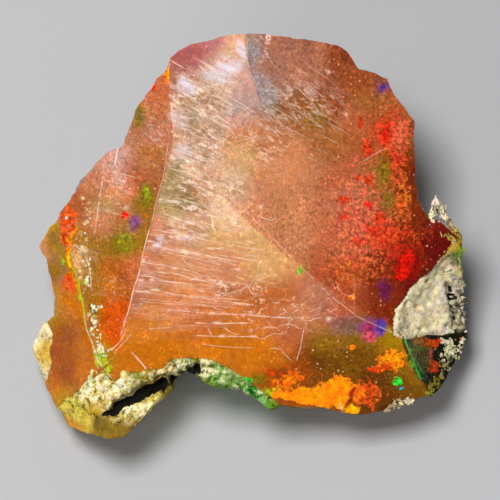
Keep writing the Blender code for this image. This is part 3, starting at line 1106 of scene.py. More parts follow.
def calc(operation, a, b=0.0, c=0.0):
    """One sum on two or three values, as a Math node's output."""
    return wire("Math", {0: a, 1: b, 2: c}, operation=operation).outputs[0]


def times(a, b):
    """a times b."""
    return calc("MULTIPLY", a, b)


def times_add(a, b, c):
    """a times b, and c added."""
    return calc("MULTIPLY_ADD", a, b, c)


def minus(a, b):
    """a less b."""
    return calc("SUBTRACT", a, b)


def larger(a, b):
    """The larger of a and b."""
    return calc("MAXIMUM", a, b)


def vector_calc(operation, a, b, c=(0.0, 0.0, 0.0)):
    """One sum on vectors or on the channels of colours."""
    return wire("VectorMath", {0: a, 1: b, 2: c}, operation=operation).outputs[0]


def scaled(vector, amount):
    """A vector or a colour times one number."""
    names = {0: vector, "Scale": amount}
    return wire("VectorMath", names, operation="SCALE").outputs[0]


print("sums are ready")

# %% Nodes that mix, spread and read
def fit(value, low, high, out_low=0.0, out_high=1.0):
    """Stretch the range low to high of a value onto another range, eased and clamped."""
    names = {"Value": value, "From Min": low, "From Max": high}
    names.update({"To Min": out_low, "To Max": out_high})
    return wire("MapRange", names, interpolation_type="SMOOTHSTEP").outputs[0]


def blend(share, a, b):
    """Mix two colours by a share."""
    return wire("Mix", {0: share, 6: a, 7: b}, data_type="RGBA").outputs[2]


def between(share, a, b):
    """Mix two values by a share."""
    return wire("Mix", {0: share, 2: a, 3: b}).outputs[0]


def millimetres(tree):
    """Object coordinates counted in millimetres."""
    return scaled(add(tree, "TexCoord").outputs["Object"], 1000.0)


def read(tree, name):
    """The node that reads one of the mesh's attributes."""
    return add(tree, "Attribute", attribute_name=name)


def split(colour):
    """The three channels of a colour."""
    return wire("SeparateXYZ", {"Vector": colour}).outputs[:3]


print("mixes are ready")

# %% Nodes that make patterns
def noise_node(place, pitch, detail, rough, warp=0.0):
    """Noise whose lumps are one pitch across; rough is the share that fine lumps get."""
    names = {"Vector": place, "Scale": 1.0 / pitch, "Detail": detail}
    names.update({"Roughness": rough, "Distortion": warp})
    return wire("TexNoise", names)


def cloudy(place, pitch, detail, rough, warp=0.0):
    """Soft noise, 0 to 1."""
    return noise_node(place, pitch, detail, rough, warp).outputs["Fac"]


def cell_node(place, fineness, feature="F1"):
    """Cells round random points, as many to a millimetre as the fineness says."""
    names = {"Vector": place, "Scale": fineness}
    return wire("TexVoronoi", names, feature=feature)


def varied(colour, place, pitch, swing, middle):
    """A colour with each channel times (swing * noise + middle), a noise for each."""
    noise_colour = noise_node(place, pitch, 2.0, 0.7).outputs["Color"]
    share = vector_calc("MULTIPLY_ADD", noise_colour, swing, middle)
    return vector_calc("MULTIPLY", colour, share)


print("patterns are ready")

# %% [markdown]
# ## Grit and clouds
#
# Two effects are kept as node groups with named inputs, so that each can be placed with
# numbers of its own: slow clouds of tone, which both stones have, and the rock's grains.

# %% Node groups
def new_group(name, inputs, outputs):
    """An empty shader group with its sockets, and its two end nodes."""
    group = bpy.data.node_groups.new(name, "ShaderNodeTree")
    for way, sockets in (("INPUT", inputs), ("OUTPUT", outputs)):
        for socket, kind in sockets.items():
            kind = "NodeSocket" + kind
            group.interface.new_socket(name=socket, in_out=way, socket_type=kind)
    return group, group.nodes.new("NodeGroupInput"), group.nodes.new("NodeGroupOutput")


def build_grit():
    """Grains: domes round the random points of a cell pattern, each with its own size."""
    inputs = {"Place": "Vector", "Fineness": "Float"}
    group, start, end = new_group("grit", inputs, {"Height": "Float", "Variety": "Float"})
    grains = cell_node(start.outputs["Place"], start.outputs["Fineness"])
    _, high, variety = split(grains.outputs["Color"])
    dome = fit(grains.outputs["Distance"], 0.5, 0.05)
    group.links.new(times(dome, high), end.inputs["Height"])
    group.links.new(variety, end.inputs["Variety"])
    return group


def build_cloud():
    """Clouds: soft noise stretched so that it has clear light and dark places."""
    inputs = {"Place": "Vector", "Fineness": "Float", "Softness": "Float"}
    group, start, end = new_group("cloud", inputs, {"Mask": "Float"})
    names = {"Vector": start.outputs["Place"], "Scale": start.outputs["Fineness"], "Detail": 4.0}
    soft = wire("TexNoise", names).outputs["Fac"]
    low = minus(0.5, start.outputs["Softness"])
    high = calc("ADD", 0.5, start.outputs["Softness"])
    group.links.new(fit(soft, low, high), end.inputs["Mask"])
    return group


GRIT, CLOUD = build_grit(), build_cloud()


def grit(place, fineness):
    """The grit group placed in a material: its height and its variety."""
    return wire("Group", {"Place": place, "Fineness": fineness}, node_tree=GRIT).outputs[:2]


def cloud(place, fineness, softness):
    """The cloud group placed in a material."""
    names = {"Place": place, "Fineness": fineness, "Softness": softness}
    return wire("Group", names, node_tree=CLOUD).outputs["Mask"]


print("node groups:", GRIT.name, CLOUD.name)

# %% [markdown]
# ## Where the opal changes colour
#
# The opal's body colour drifts slowly: rosy at the top, peach over the hackle, orange
# low down and olive at the lower right, where it is clearest. A few named tones are
# placed on each face, and between them the colour is the mean of all, each counting by
# one over its distance to the fourth power.

# %% Body tones
TONES = {
    "rose": (184, 94, 90), "blush": (194, 120, 124), "shell": (214, 170, 142),
    "peach": (214, 160, 124), "ochre": (232, 176, 132), "fawn": (204, 154, 138),
    "mauve": (186, 152, 144), "ledge_shadow": (154, 144, 146), "sand": (214, 160, 102),
    "apricot": (208, 126, 70), "tangerine": (202, 112, 4), "coral": (192, 100, 38),
    "umber": (178, 110, 80), "sienna": (190, 98, 56), "brick": (182, 80, 40),
    "rust": (124, 36, 0), "honey": (190, 104, 0), "amber": (148, 72, 0), "gold": (166, 122, 0),
    "khaki": (140, 98, 4), "olive": (112, 68, 0), "bottle_in_shade": (16, 18, 0), "wine": (104, 2, 0),
    "plum": (196, 120, 88), "vermilion": (204, 76, 0), "moor": (168, 100, 44),
    "russet": (150, 70, 30), "tawny": (150, 66, 0), "bark": (94, 50, 0), "fog": (170, 140, 88),
    "saffron": (216, 164, 0), "terra": (208, 132, 88), "cream": (228, 184, 148),
}
FACE_TONES = {  # tone: its places
    "central": {
        "blush": [(-3.2, 17.9)], "rose": [(-4.4, 17.2), (-5.8, 15.9)],
        "umber": [(-6.4, 14.0), (7.0, -5.8), (-9.7, -3.2), (-10.3, -5.2)],
        "ochre": [(-1.6, 17.9)],
        "shell": [(-2.2, 16.0), (-3.4, 13.6), (-3.4, 11.2), (-4.6, 12.2), (-5.2, 7.0)],
        "peach": [(-5.4, 12.4), (-5.8, 9.4), (-4.4, 5.2), (-5.0, 1.2)],
        "fawn": [(-0.4, 13.6), (-0.6, 14.8)], "mauve": [(-0.9, 11.5)],
        "fog": [(-6.9, 4.9), (-6.6, 3.4)], "sand": [(-2.8, 0.4), (0.8, -0.8), (1.8, -2.6)],
        "apricot": [(-7.4, -1.6), (-6.0, -4.6)],
        "tangerine": [(-8.0, -7.8), (-10.2, -9.4), (-8.4, -6.8), (-3.0, -9.9), (0.6, -10.2)],
        "terra": [(-2.6, -2.4), (4.4, -7.5)],
        "coral": [(-6.6, -6.6), (-4.4, -7.0), (1.0, -5.4), (3.4, -5.4)],
        "honey": [(-9.4, -9.8), (-7.0, -10.4), (2.6, -11.0)], "cream": [(-2.0, 2.4)],
        "sienna": [(3.6, -9.2)], "plum": [(5.8, -5.2), (-8.7, 0.4), (-9.1, -1.4)],
        "brick": [(8.4, -6.4)], "khaki": [(9.0, -8.4), (6.4, -9.8), (12.8, -8.2), (14.6, -11.8)],
        "wine": [(12.0, -7.0)], "olive": [(9.5, -11.0), (7.2, -11.6), (14.0, -13.0)],
        "gold": [(13.4, -9.0)], "bark": [(11.8, -13.0), (12.0, -14.8), (6.2, -10.9)],
        "tawny": [(3.0, -12.6), (4.8, -11.2)],
    },
    "right": {
        # painted shadow: the grey strip beside the ledge, at the top of the right face
        "ledge_shadow": [(0.3, 16.4), (0.8, 14.4), (1.5, 12.6)],
        "umber": [(1.7, 15.6), (2.4, 13.8), (2.0, 17.4), (5.4, 15.2)],
        "russet": [(8.4, 16.2), (9.4, 14.2), (8.6, 12.4), (8.2, 10.8)],
        "moor": [(5.4, 11.0), (3.4, 12.0), (7.6, 9.6), (10.2, 12.4)],
        "sienna": [(9.4, 10.4), (7.3, -0.5), (8.4, 5.0)], "apricot": [(-0.2, 9.4)],
        "terra": [(1.0, 8.6), (1.2, 5.4), (3.4, 7.6), (4.6, 4.8), (2.4, 3.0), (4.6, 0.4)],
        "sand": [(-0.2, 7.4)], "cream": [(-1.2, 5.6)], "fawn": [(-0.9, 10.8)],
        "brick": [(11.6, 9.3), (10.4, 1.6), (8.8, -4.2)], "khaki": [(12.4, 6.2), (12.0, 4.6)],
        "rust": [(13.8, 3.0), (13.9, 0.0), (13.9, 3.8), (12.2, -1.6), (14.4, -2.0), (11.6, -3.6),
            (13.0, -6.0), (14.6, 6.0)],
        "wine": [(17.4, -1.6), (16.0, -0.6), (15.0, -4.8)], "plum": [(9.2, 3.8)],
    },
    "left": {
        "moor": [(-9.6, 11.6), (-9.2, 7.4), (-14.2, 0.8), (-11.2, 0.9)],
        "sienna": [(-9.0, 13.4), (-10.6, 4.4), (-10.6, -2.4), (-15.8, 3.6)],
        "umber": [(-8.6, 9.8), (-13.4, 5.4)], "fawn": [(-11.7, 7.0), (-11.8, 5.2)],
        "russet": [(-10.0, 5.2), (-15.4, 3.2)], "apricot": [(-12.6, 4.2)],
        "khaki": [(-9.6, 3.2), (-12.2, -0.4), (-10.0, -0.4), (-14.2, -6.6), (-17.9, -1.9),
            (-14.0, -0.4), (-15.0, 0.2), (-14.4, -2.8)],
        "plum": [(-13.2, 1.6)], "fog": [(-12.9, 3.4)], "honey": [(-12.2, -3.8)],
        "vermilion": [(-12.2, -6.6), (-12.2, -8.4), (-11.0, -10.8), (-16.8, 2.0), (-16.6, 0.6),
            (-11.6, -9.0)],
        "gold": [(-13.8, -9.2), (-13.4, -11.2), (-13.1, -9.7)], "saffron": [(-18.3, 0.8)],
        "sand": [(-15.3, -2.1), (-19.1, -0.8)], "tawny": [(-11.6, -3.2)],
    },
    "amber": {
        "saffron": [(-18.3, 0.8)], "terra": [(-19.0, -0.8)],
        "khaki": [(-17.4, -0.4), (-17.0, -2.4), (-17.8, -2.2)],
        "gold": [(-15.6, -2.0), (-18.4, -6.4), (-17.2, -14.2), (-17.8, -4.4)],
        "amber": [(-16.2, -8.5), (-16.8, -12.0)],
        "honey": [(-16.0, -5.6), (-17.5, -13.2), (-15.0, -11.6), (-15.2, -9.2)],
        "tawny": [(-17.6, -9.6), (-16.4, -12.0)], "vermilion": [(-16.4, -3.8)],
    },
    # the dark corner's near-black tone is partly dark opal and partly painted shade of the recess
    "dark_corner": {"bottle_in_shade": [(17.0, -11.5), (16.0, -13.2), (18.6, -9.8)]},
}
SIDE_TONES = {
    "amber": [(-14.0, 0.0), (-6.0, -12.0), (0.0, 0.0)], "honey": [(-8.0, 14.0)],
    "sienna": [(4.0, 16.0)], "rust": [(15.0, 8.0)], "khaki": [(12.0, -13.0)],
}
TONE_CORE = 0.8  # square millimetres round a spot where its tone hardly changes


def mean_tone(tones, spots, x, y, core):
    """Mean of the named tones, each counting by 1 / (distance^2 + core)^2."""
    total, weights = np.zeros(x.shape + (3,)), np.zeros_like(x)
    for name, places in spots.items():
        for spot_x, spot_y in places:
            weight = 1.0 / ((x - spot_x) ** 2 + (y - spot_y) ** 2 + core) ** 2
            total += weight[..., None] * tone(*tones[name])
            weights += weight
    return total / weights[..., None]


print("body tones:", len(TONES), "on", len(FACE_TONES), "regions")

# %% Tones by region
def region_shares(x, y):
    """Share of each painted region, by name; together they make 1."""
    left_side = left_share(x, y)
    amber = ramp(flat_face("left", x, y) - flat_face("amber", x, y), -0.05, 0.05)
    corner = 1 - ramp(shell_face("dark_corner", x, y) - broken_front(x, y), 0.02, 0.12)
    corner = corner * (1 - ramp(y, -8.6, -7.8))
    shares = {"left": left_side * (1 - amber), "amber": left_side * amber, "dark_corner": corner}
    rest = np.clip(1 - left_side - corner, 0.0, 1.0)
    central = central_share(x, y, FACET_EDGE)
    shares["central"], shares["right"] = rest * central, rest * (1 - central)
    return shares


def body_tone(x, y, z):
    """The tones of each region by its share, and the side's tones below the front."""
    wx, wy = wavy(x, y, 0.5, 2.2, 231)
    total = np.zeros(x.shape + (3,))
    for name, share in region_shares(x, y).items():
        total += share[..., None] * mean_tone(TONES, FACE_TONES[name], wx, wy, TONE_CORE)
    side = ramp(broken_front(x, y) - z, 0.5, 2.0)[..., None]
    return total * (1 - side) + side * mean_tone(TONES, SIDE_TONES, wx, wy, TONE_CORE)


def grain_share(x, y):
    """How loud the opal's mottle is: loud on the right and left faces and low down."""
    share = region_shares(x, y)
    loud = share["right"] * (1 - 0.75 * soft_spots([(1.6, 6.4, 5.0, 4.6, 1.0)], x, y))
    loud = loud + 0.9 * share["left"] + 0.15 * share["amber"] + share["dark_corner"]
    return np.maximum(loud, share["central"] * soft_spots([(8.6, -11.6, 7.0, 4.4, 1.0)], x, y))


middle = np.zeros((2, 1))
print("tone at the middle:", body_tone(*middle, broken_front(*middle))[0].round(3))

# %% [markdown]
# ## Play of colour
#
# Precious opal flashes because its silica balls are stacked in even layers, which split
# light as a grating does. The flashes sit in patches, each of one hue. A patch here is a
# soft ellipse of strength. The shader later cuts it with noise: where the strength is
# high nearly all of it burns, and where it is low only scattered sparks do. Moss, haze
# and violet lie deeper and have no sharp edge, so their softness is kept as well.

# %% Fire patches
HUES = {
    "red": (240, 18, 0), "ruby": (150, 8, 0), "blood": (140, 8, 0), "ember": (222, 56, 6),
    "rosy": (226, 116, 88), "salmon": (222, 102, 68), "copper": (214, 94, 20),
    "grape": (110, 18, 84), "orange": (246, 118, 6), "rusty": (224, 82, 8), "rust": (178, 52, 6),
    "flame": (255, 138, 0), "yellow": (255, 172, 0), "green": (40, 216, 56),
    "lime": (172, 180, 20), "moss": (118, 112, 6), "cyan": (20, 190, 214), "blue": (84, 52, 170),
    "violet": (132, 60, 132), "haze": (128, 96, 112), "leafy": (40, 84, 6), "umbra": (104, 62, 8),
    "magenta": (180, 40, 96), "pink": (232, 92, 96),
}
SHARP = ("flame", "yellow", "rusty", "green")  # patches with a clear edge of their own
SOFTNESS = {
    "moss": 1.0, "haze": 1.0, "violet": 0.9, "grape": 0.9, "rosy": 0.6, "blue": 0.8, "lime": 0.35,
    "magenta": 0.7, "pink": 0.6,
}
FIRE = [  # hue, place, half width, half height, strength
    # the right face: broad weak fields first, then the patches on them
    ("rosy", 8.6, 1.6, 4.0, 5.6, 0.42), ("salmon", 11.4, 4.6, 3.4, 6.0, 0.43),
    ("copper", 13.6, 2.4, 1.0, 2.4, 0.3), ("salmon", 9.6, 0.2, 2.2, 2.6, 0.44),
    ("copper", 9.2, -3.0, 3.4, 1.9, 0.5), ("ember", 12.0, 0.2, 1.5, 1.4, 0.62),
    ("ember", 13.2, -0.6, 1.6, 2.2, 0.42), ("ruby", 14.4, -2.2, 1.9, 2.2, 0.75),
    ("red", 14.4, -1.7, 0.7, 0.6, 0.72), ("red", 14.1, -2.6, 0.5, 0.7, 0.85),
    ("red", 13.7, -3.4, 0.5, 0.4, 0.85), ("rust", 15.4, 0.6, 1.6, 1.8, 0.5),
    ("ember", 12.8, 9.6, 1.6, 2.8, 0.62), ("salmon", 13.6, 9.4, 1.0, 2.0, 0.6),
    ("ember", 13.2, 6.6, 1.2, 1.6, 0.5), ("red", 12.5, 9.4, 0.45, 0.9, 0.85),
    ("ember", 10.1, 10.5, 0.4, 0.6, 0.95), ("ember", 10.7, 8.2, 0.45, 0.8, 0.85),
    ("ember", 10.8, 5.3, 0.4, 0.4, 0.95), ("red", 10.7, 3.0, 0.35, 0.35, 0.95),
    ("ember", 11.9, 1.9, 0.5, 0.6, 0.95), ("ember", 8.6, 3.4, 0.5, 0.4, 0.85),
    ("ember", 8.6, 2.0, 0.4, 0.4, 0.85), ("orange", 14.0, 3.0, 0.8, 1.0, 0.34),
    ("blood", 15.4, 6.8, 0.35, 1.2, 0.9), ("ember", 9.8, 5.6, 0.3, 0.3, 0.9),
    ("moss", 12.2, 6.4, 0.7, 1.5, 0.7), ("moss", 12.5, 3.4, 0.8, 1.1, 0.6),
    ("ember", 11.2, 0.6, 0.6, 0.6, 0.8), ("ember", 9.8, -0.4, 0.6, 0.45, 0.7),
    ("copper", 14.0, 4.4, 0.8, 1.6, 0.5), ("violet", 12.1, 13.7, 0.9, 0.8, 0.62),
    ("blue", 12.1, 13.7, 0.3, 0.3, 1.0), ("grape", 12.2, -4.7, 0.8, 1.1, 0.8),
    ("orange", 9.4, -5.4, 0.4, 0.4, 0.85),
    # the lower right of the central face
    ("haze", 8.8, -7.8, 2.2, 1.2, 0.62), ("violet", 11.1, -8.1, 1.2, 0.9, 0.8),
    ("blue", 11.8, -8.1, 0.6, 0.8, 1.1), ("magenta", 10.8, -8.2, 0.6, 0.9, 0.9),
    ("pink", 10.8, -9.0, 0.8, 0.6, 0.7), ("orange", 9.4, -9.9, 0.36, 0.36, 1.0),
    ("lime", 13.3, -8.7, 0.6, 1.2, 0.3), ("orange", 12.9, -11.0, 1.9, 1.5, 0.5),
    ("flame", 13.0, -11.1, 1.1, 0.9, 0.8), ("ember", 12.6, -11.7, 0.6, 0.4, 0.8),
    ("ember", 11.2, -11.9, 0.8, 0.5, 0.66), ("green", 13.5, -13.0, 0.5, 0.35, 0.8),
    ("cyan", 13.7, -13.6, 0.3, 0.2, 1.0),
    # the flame along the bottom
    ("copper", 6.6, -13.4, 4.2, 1.6, 0.36), ("ember", 3.0, -12.2, 2.2, 1.0, 0.38),
    ("yellow", 8.4, -14.6, 1.0, 0.9, 1.0), ("orange", 4.1, -12.5, 0.8, 0.5, 0.72),
    ("orange", 3.4, -13.3, 1.6, 0.7, 0.7), ("copper", 10.6, -14.2, 2.0, 1.5, 0.62),
    ("ember", 10.5, -14.2, 1.3, 1.2, 0.55), ("orange", 9.9, -14.2, 0.5, 0.8, 0.85),
    ("yellow", 9.3, -15.6, 0.8, 0.4, 1.1), ("lime", 1.9, -14.0, 1.1, 0.5, 0.9),
    ("moss", 0.4, -12.9, 1.4, 0.6, 0.8), ("green", -0.2, -12.9, 0.5, 0.4, 1.0),
    # the ridge, the left face and the dark corner
    ("lime", 4.7, -2.7, 0.8, 0.6, 0.5), ("green", 4.6, -2.9, 0.3, 0.5, 0.42),
    ("moss", -5.0, 10.4, 0.8, 1.3, 0.5), ("moss", 6.0, 10.8, 1.3, 1.5, 0.5),
    ("moss", 2.4, 11.4, 0.9, 0.8, 0.5), ("moss", -9.9, 11.0, 0.7, 1.4, 0.7),
    ("red", -11.3, 2.1, 0.4, 0.38, 1.1), ("violet", -10.3, 1.5, 0.55, 0.9, 0.85),
    ("orange", -9.2, 1.9, 0.28, 0.28, 1.0), ("moss", -11.5, -0.5, 1.6, 1.6, 0.62),
    ("lime", -11.2, -0.4, 1.0, 1.0, 0.24), ("moss", -9.3, 3.9, 0.7, 1.3, 0.9),
    ("lime", -9.2, 4.0, 0.4, 0.6, 0.5), ("red", -8.7, 13.6, 0.42, 0.42, 1.1),
    ("flame", -7.4, 14.6, 0.4, 1.0, 0.8), ("rusty", -16.5, 1.7, 0.9, 1.4, 0.8),
    ("rusty", -16.6, 0.0, 0.5, 0.8, 0.85), ("rusty", -16.2, -4.1, 0.75, 0.7, 1.1),
    ("lime", -17.0, -2.2, 0.22, 0.35, 0.9), ("lime", -14.8, -4.0, 0.28, 0.28, 0.9),
    ("lime", -15.2, -5.5, 0.2, 0.4, 0.8), ("lime", -17.1, -1.2, 0.12, 1.2, 0.6),
    ("lime", -13.5, -10.4, 0.5, 1.1, 0.85), ("lime", -12.9, -11.6, 0.5, 1.0, 0.9),
    ("green", -13.5, -10.6, 0.15, 0.3, 0.5), ("ember", 16.9, -11.8, 0.5, 0.7, 0.95),
    ("ember", 17.0, -9.5, 0.6, 0.4, 0.95), ("leafy", 15.6, -10.8, 1.2, 2.0, 0.55),
    ("umbra", 16.2, -10.4, 1.2, 1.8, 0.42), ("rusty", 15.9, -9.4, 1.3, 0.5, 0.5),
    ("moss", 15.2, -9.6, 0.6, 0.9, 0.5), ("pink", 16.6, -10.6, 0.3, 0.6, 0.5),
]
FIRE_LINES = [  # hue, half width, strength, line
    ("green", 0.34, 0.3, [(14.2, -9.2), (14.7, -10.8), (15.2, -12.0), (15.5, -12.5)]),
    ("lime", 0.2, 0.35, CREASE),
    ("orange", 0.22, 0.9, [(-16.0, 0.6), (-16.3, -0.8), (-16.5, -2.0)]),
    ("yellow", 0.24, 1.0, [(-16.4, -1.4), (-16.2, -2.4)]),
    ("flame", 0.36, 1.2, [(2.4, -14.2), (5.0, -14.3)]),
    ("flame", 0.8, 1.3, [(5.0, -14.4), (6.5, -14.3)]),
    ("flame", 1.35, 1.3, [(7.1, -14.2), (8.2, -13.9)]),
    ("blood", 0.2, 0.9, [(9.5, -13.6), (9.2, -14.6), (8.8, -15.2)]),
]
print("fire patches:", len(FIRE), "and lines:", len(FIRE_LINES), "in", len(HUES), "hues")

# %% Fire laid patch over patch
EDGE_START, EDGE_END = 0.45, 0.95  # millimetres below the front over which all marks fade


def on_front(x, y, z):
    """1 on the broken front and 0 on the sides, so that nothing runs down them."""
    return 1 - ramp(broken_front(x, y) - z, EDGE_START, EDGE_END)


def lay_over(held, strength, hue, share):
    """Lay a patch over what is there: both count by what the upper one lets through."""
    left = strength * (1 - np.minimum(share, 1.0))
    whole = np.maximum(share + left, 1e-6)
    added = np.append(tone(*HUES[hue]), SOFTNESS.get(hue, 0.0))
    return (share[..., None] * added + left[..., None] * held) / whole[..., None], whole


def fire_colour(x, y, z):
    """Colour, strength and softness of the patches, each laid over the ones before it."""
    wx, wy = wavy(x, y, 0.18, 0.7, 301)
    held, strength, seen = np.zeros(x.shape + (4,)), np.zeros_like(x), on_front(x, y, z)
    for hue, patch_x, patch_y, wide, high, power in FIRE:
        reach = np.hypot((wx - patch_x) / wide, (wy - patch_y) / high)
        start, end = (0.7, 1.2) if hue in SHARP else (0.25, 1.5)
        share = power * (1 - ramp(reach, start, end)) * seen
        held, strength = lay_over(held, strength, hue, share)
    for hue, wide, power, line in FIRE_LINES:
        share = power * (1 - ramp(near_line(line, wx, wy) / wide, 0.6, 1.25)) * seen
        held, strength = lay_over(held, strength, hue, share)
    return np.concatenate([held[..., :3], strength[..., None]], axis=-1), held[..., 3]


ruby_spot = np.array([[14.4], [-2.2]])
print("fire at the ruby patch:", fire_colour(*ruby_spot, broken_front(*ruby_spot))[0].round(2))

# %% [markdown]
# ## Marks on the opal: streaks, strokes, crumble, painted sheen
#
# More changes over the surface than its colour: how thick the fine streaks lie, which are
# partly painted highlights, where the hackle has crumbled white with painted shade in its
# hollows, where there is fine crackle and where a painted white sheen covers the colour.
# Each is one channel of an attribute.
#
# Single strokes and cracks are thinner than the mesh's cells. They can still be drawn
# sharply: what is kept at each point is the distance to the nearest stroke, with a sign
# for its side. Between two points that distance runs straight through zero at the very
# place of the stroke, and the shader draws its line there.

# %% Places of the marks
CRACKLED = [(2.6, -6.9, 4.6, 2.2, 1.0), (0.0, -4.6, 3.4, 1.2, 0.7), (7.6, -5.4, 3.0, 2.4, 0.5)]
PAINTED_SHEENS = [  # painted sheen, white or blue-white highlights: place, half width, half height, strength
    (-0.8, 16.9, 0.7, 1.1, 1.0), (-1.9, 15.6, 1.3, 1.1, 1.0), (-3.0, 14.8, 1.4, 0.8, 0.7),
    (-5.6, 13.5, 1.0, 0.9, 1.0), (-2.2, 14.3, 1.0, 0.5, 0.7), (-6.2, 10.8, 0.8, 0.8, 0.6),
    (-6.0, 7.8, 1.2, 1.0, 0.5), (-8.3, -0.2, 0.5, 1.0, 0.8), (-5.9, 0.0, 1.2, 0.25, 0.6),
]
CRUMBLED = [  # where the hackle has crumbled white, with painted shade in its hollows: place, half sizes, strength
    (-4.6, 12.6, 3.4, 3.4, 1.0), (-5.0, 8.4, 3.2, 3.4, 1.0), (-5.2, 4.0, 3.2, 2.6, 0.9),
    (-5.6, 0.6, 2.8, 1.6, 0.7), (-8.7, 10.0, 1.5, 4.4, 0.7), (-12.0, 4.6, 1.8, 3.0, 0.45),
    (4.8, 12.0, 4.6, 3.2, 0.55), (1.4, 8.6, 3.4, 2.6, 0.6), (-1.2, 4.6, 2.0, 1.6, 0.5),
    (-1.9, -4.6, 1.8, 0.7, 0.8), (-8.0, -0.4, 0.9, 1.4, 0.6), (1.2, 17.2, 1.0, 1.0, 0.5),
    (-14.4, -1.4, 1.0, 2.6, 0.6), (-12.4, -4.4, 1.6, 1.6, 0.5),
]
STROKES = [  # half width, strength, line: crisp lines of the hackle and of the edges, partly whitish fracture lines and partly painted highlights on lance steps and ridges
    (0.07, 0.8, [(-11.5, -8.6), (-10.5, -5.2), (-9.6, -1.8), (-9.0, 0.6)]),
    (0.05, 0.5, [(-9.0, 0.6), (-8.3, 3.2), (-7.7, 5.6), (-7.2, 8.4)]),
    (0.05, 0.45, [(-3.9, 5.8), (-2.6, 4.2), (-0.4, 2.6), (1.4, 0.7), (3.6, -1.6), (5.8, -3.6)]),
    (0.05, 0.6, [(7.6, -5.4), (9.6, -7.0), (11.6, -8.0), (13.0, -8.6)]),
    (0.09, 0.9, [(-7.55, 2.1), (-5.8, 1.5), (-4.3, 0.95)]),
    (0.1, 0.8, [(-6.4, 3.5), (-5.0, 3.2), (-3.7, 2.7)]),
    (0.08, 0.7, [(-7.3, 6.3), (-5.6, 5.8), (-3.8, 5.0)]),
    (0.07, 0.8, [(-7.9, -0.9), (-4.8, -1.3), (-1.7, -2.0)]),
    (0.06, 0.7, [(-7.6, -1.3), (-5.2, -1.7), (-2.6, -2.4)]),
    (0.06, 0.7, [(-8.1, -2.4), (-5.0, -3.0), (-2.3, -4.2)]),
    (0.07, 0.8, [(-6.7, -3.2), (-4.4, -3.8), (-2.0, -4.3)]),
    (0.06, 0.7, [(-9.3, -4.7), (-4.4, -5.4), (0.4, -6.1)]),
    (0.05, 0.6, [(-6.3, -1.1), (-3.8, -1.7), (-1.3, -2.4)]),
    (0.07, 0.8, [(-7.2, -6.5), (-3.2, -6.8), (1.4, -7.1), (3.7, -7.2)]),
    (0.07, 0.8, [(-4.7, -7.66), (-2.4, -7.7), (-0.2, -7.7)]),
    (0.06, 0.7, [(-4.7, -8.8), (-2.0, -8.9), (0.7, -9.0)]),
    (0.05, 0.5, [(-10.3, -6.8), (-8.6, -6.9), (-7.2, -6.8)]),
    (0.05, 0.5, [(-8.6, -5.6), (-6.0, -5.9), (-3.2, -6.2)]),
    (0.05, 0.5, [(-9.0, -8.2), (-6.4, -8.0), (-4.9, -7.9)]),
    (0.05, 0.5, [(-4.0, -9.6), (-1.8, -9.9), (0.2, -10.0)]),
    (0.09, 0.9, [(-4.3, 15.4), (-3.5, 14.6), (-2.6, 14.2), (-1.4, 13.9)]),
    (0.07, 0.8, [(-3.8, 15.5), (-2.8, 14.8), (-1.7, 14.5)]),
    (0.1, 0.9, [(-6.7, 12.4), (-5.4, 11.5), (-3.5, 10.7), (-1.9, 9.9)]),
    (0.08, 0.8, [(-6.9, 11.9), (-4.9, 10.9), (-3.3, 9.6)]),
    (0.07, 0.8, [(-6.9, 10.6), (-5.0, 9.8), (-3.4, 8.8)]),
    (0.06, 0.9, [(-1.4, 12.5), (-0.4, 11.9), (0.5, 11.3)]),
    (0.06, 0.7, [(-1.1, 11.9), (-0.3, 11.5)]),
    (0.07, 0.7, [(1.3, 11.9), (2.1, 11.2), (2.8, 10.4)]),
    (0.06, 0.6, [(4.4, 13.6), (5.6, 12.4), (6.3, 11.4)]),
    (0.06, 0.5, [(5.2, 14.0), (6.4, 13.0), (7.2, 12.0)]),
    (0.06, 0.6, [(3.0, 12.6), (4.0, 11.4), (4.6, 10.2)]),
    (0.06, 0.6, [(1.5, 16.9), (2.2, 15.7)]), (0.05, 0.5, [(10.3, 6.9), (12.5, 8.2)]),
    (0.05, 0.8, [(1.0, 1.9), (1.9, 1.6), (2.4, 1.8)]),
    (0.07, 0.6, [(-13.1, 6.6), (-13.5, 3.6), (-14.0, 0.3)]),
    (0.06, 0.7, [(-15.8, -0.6), (-15.0, -1.2), (-14.6, -2.0), (-14.4, -3.2), (-14.2, -4.7)]),
    (0.1, 0.9, [(-11.8, 8.3), (-12.1, 6.8)]),
    (0.08, 1.1, CREASE), (0.09, 1.4, [(14.05, -8.9), (14.7, -10.6), (15.3, -12.2), (15.5, -12.6)]),
    (0.06, 0.7, [(-11.2, -7.4), (-11.1, -8.5), (-11.7, -9.5), (-12.6, -10.2)]),
    (0.06, 0.6, [(-14.9, -7.0), (-14.1, -10.2), (-12.5, -12.6)]),
    (0.08, 0.8, [(-10.5, -10.4), (-9.3, -11.8)]),
    (0.06, 0.6, [(-12.0, -10.2), (-11.0, -9.2), (-10.6, -8.6)]),
    (0.06, 0.8, [(4.9, -8.4), (4.7, -9.8), (4.4, -10.9)]),
    (0.05, 0.6, [(-0.2, 18.2), (-0.1, 16.0), (0.4, 14.4), (0.9, 13.2), (1.3, 12.2)]),
]
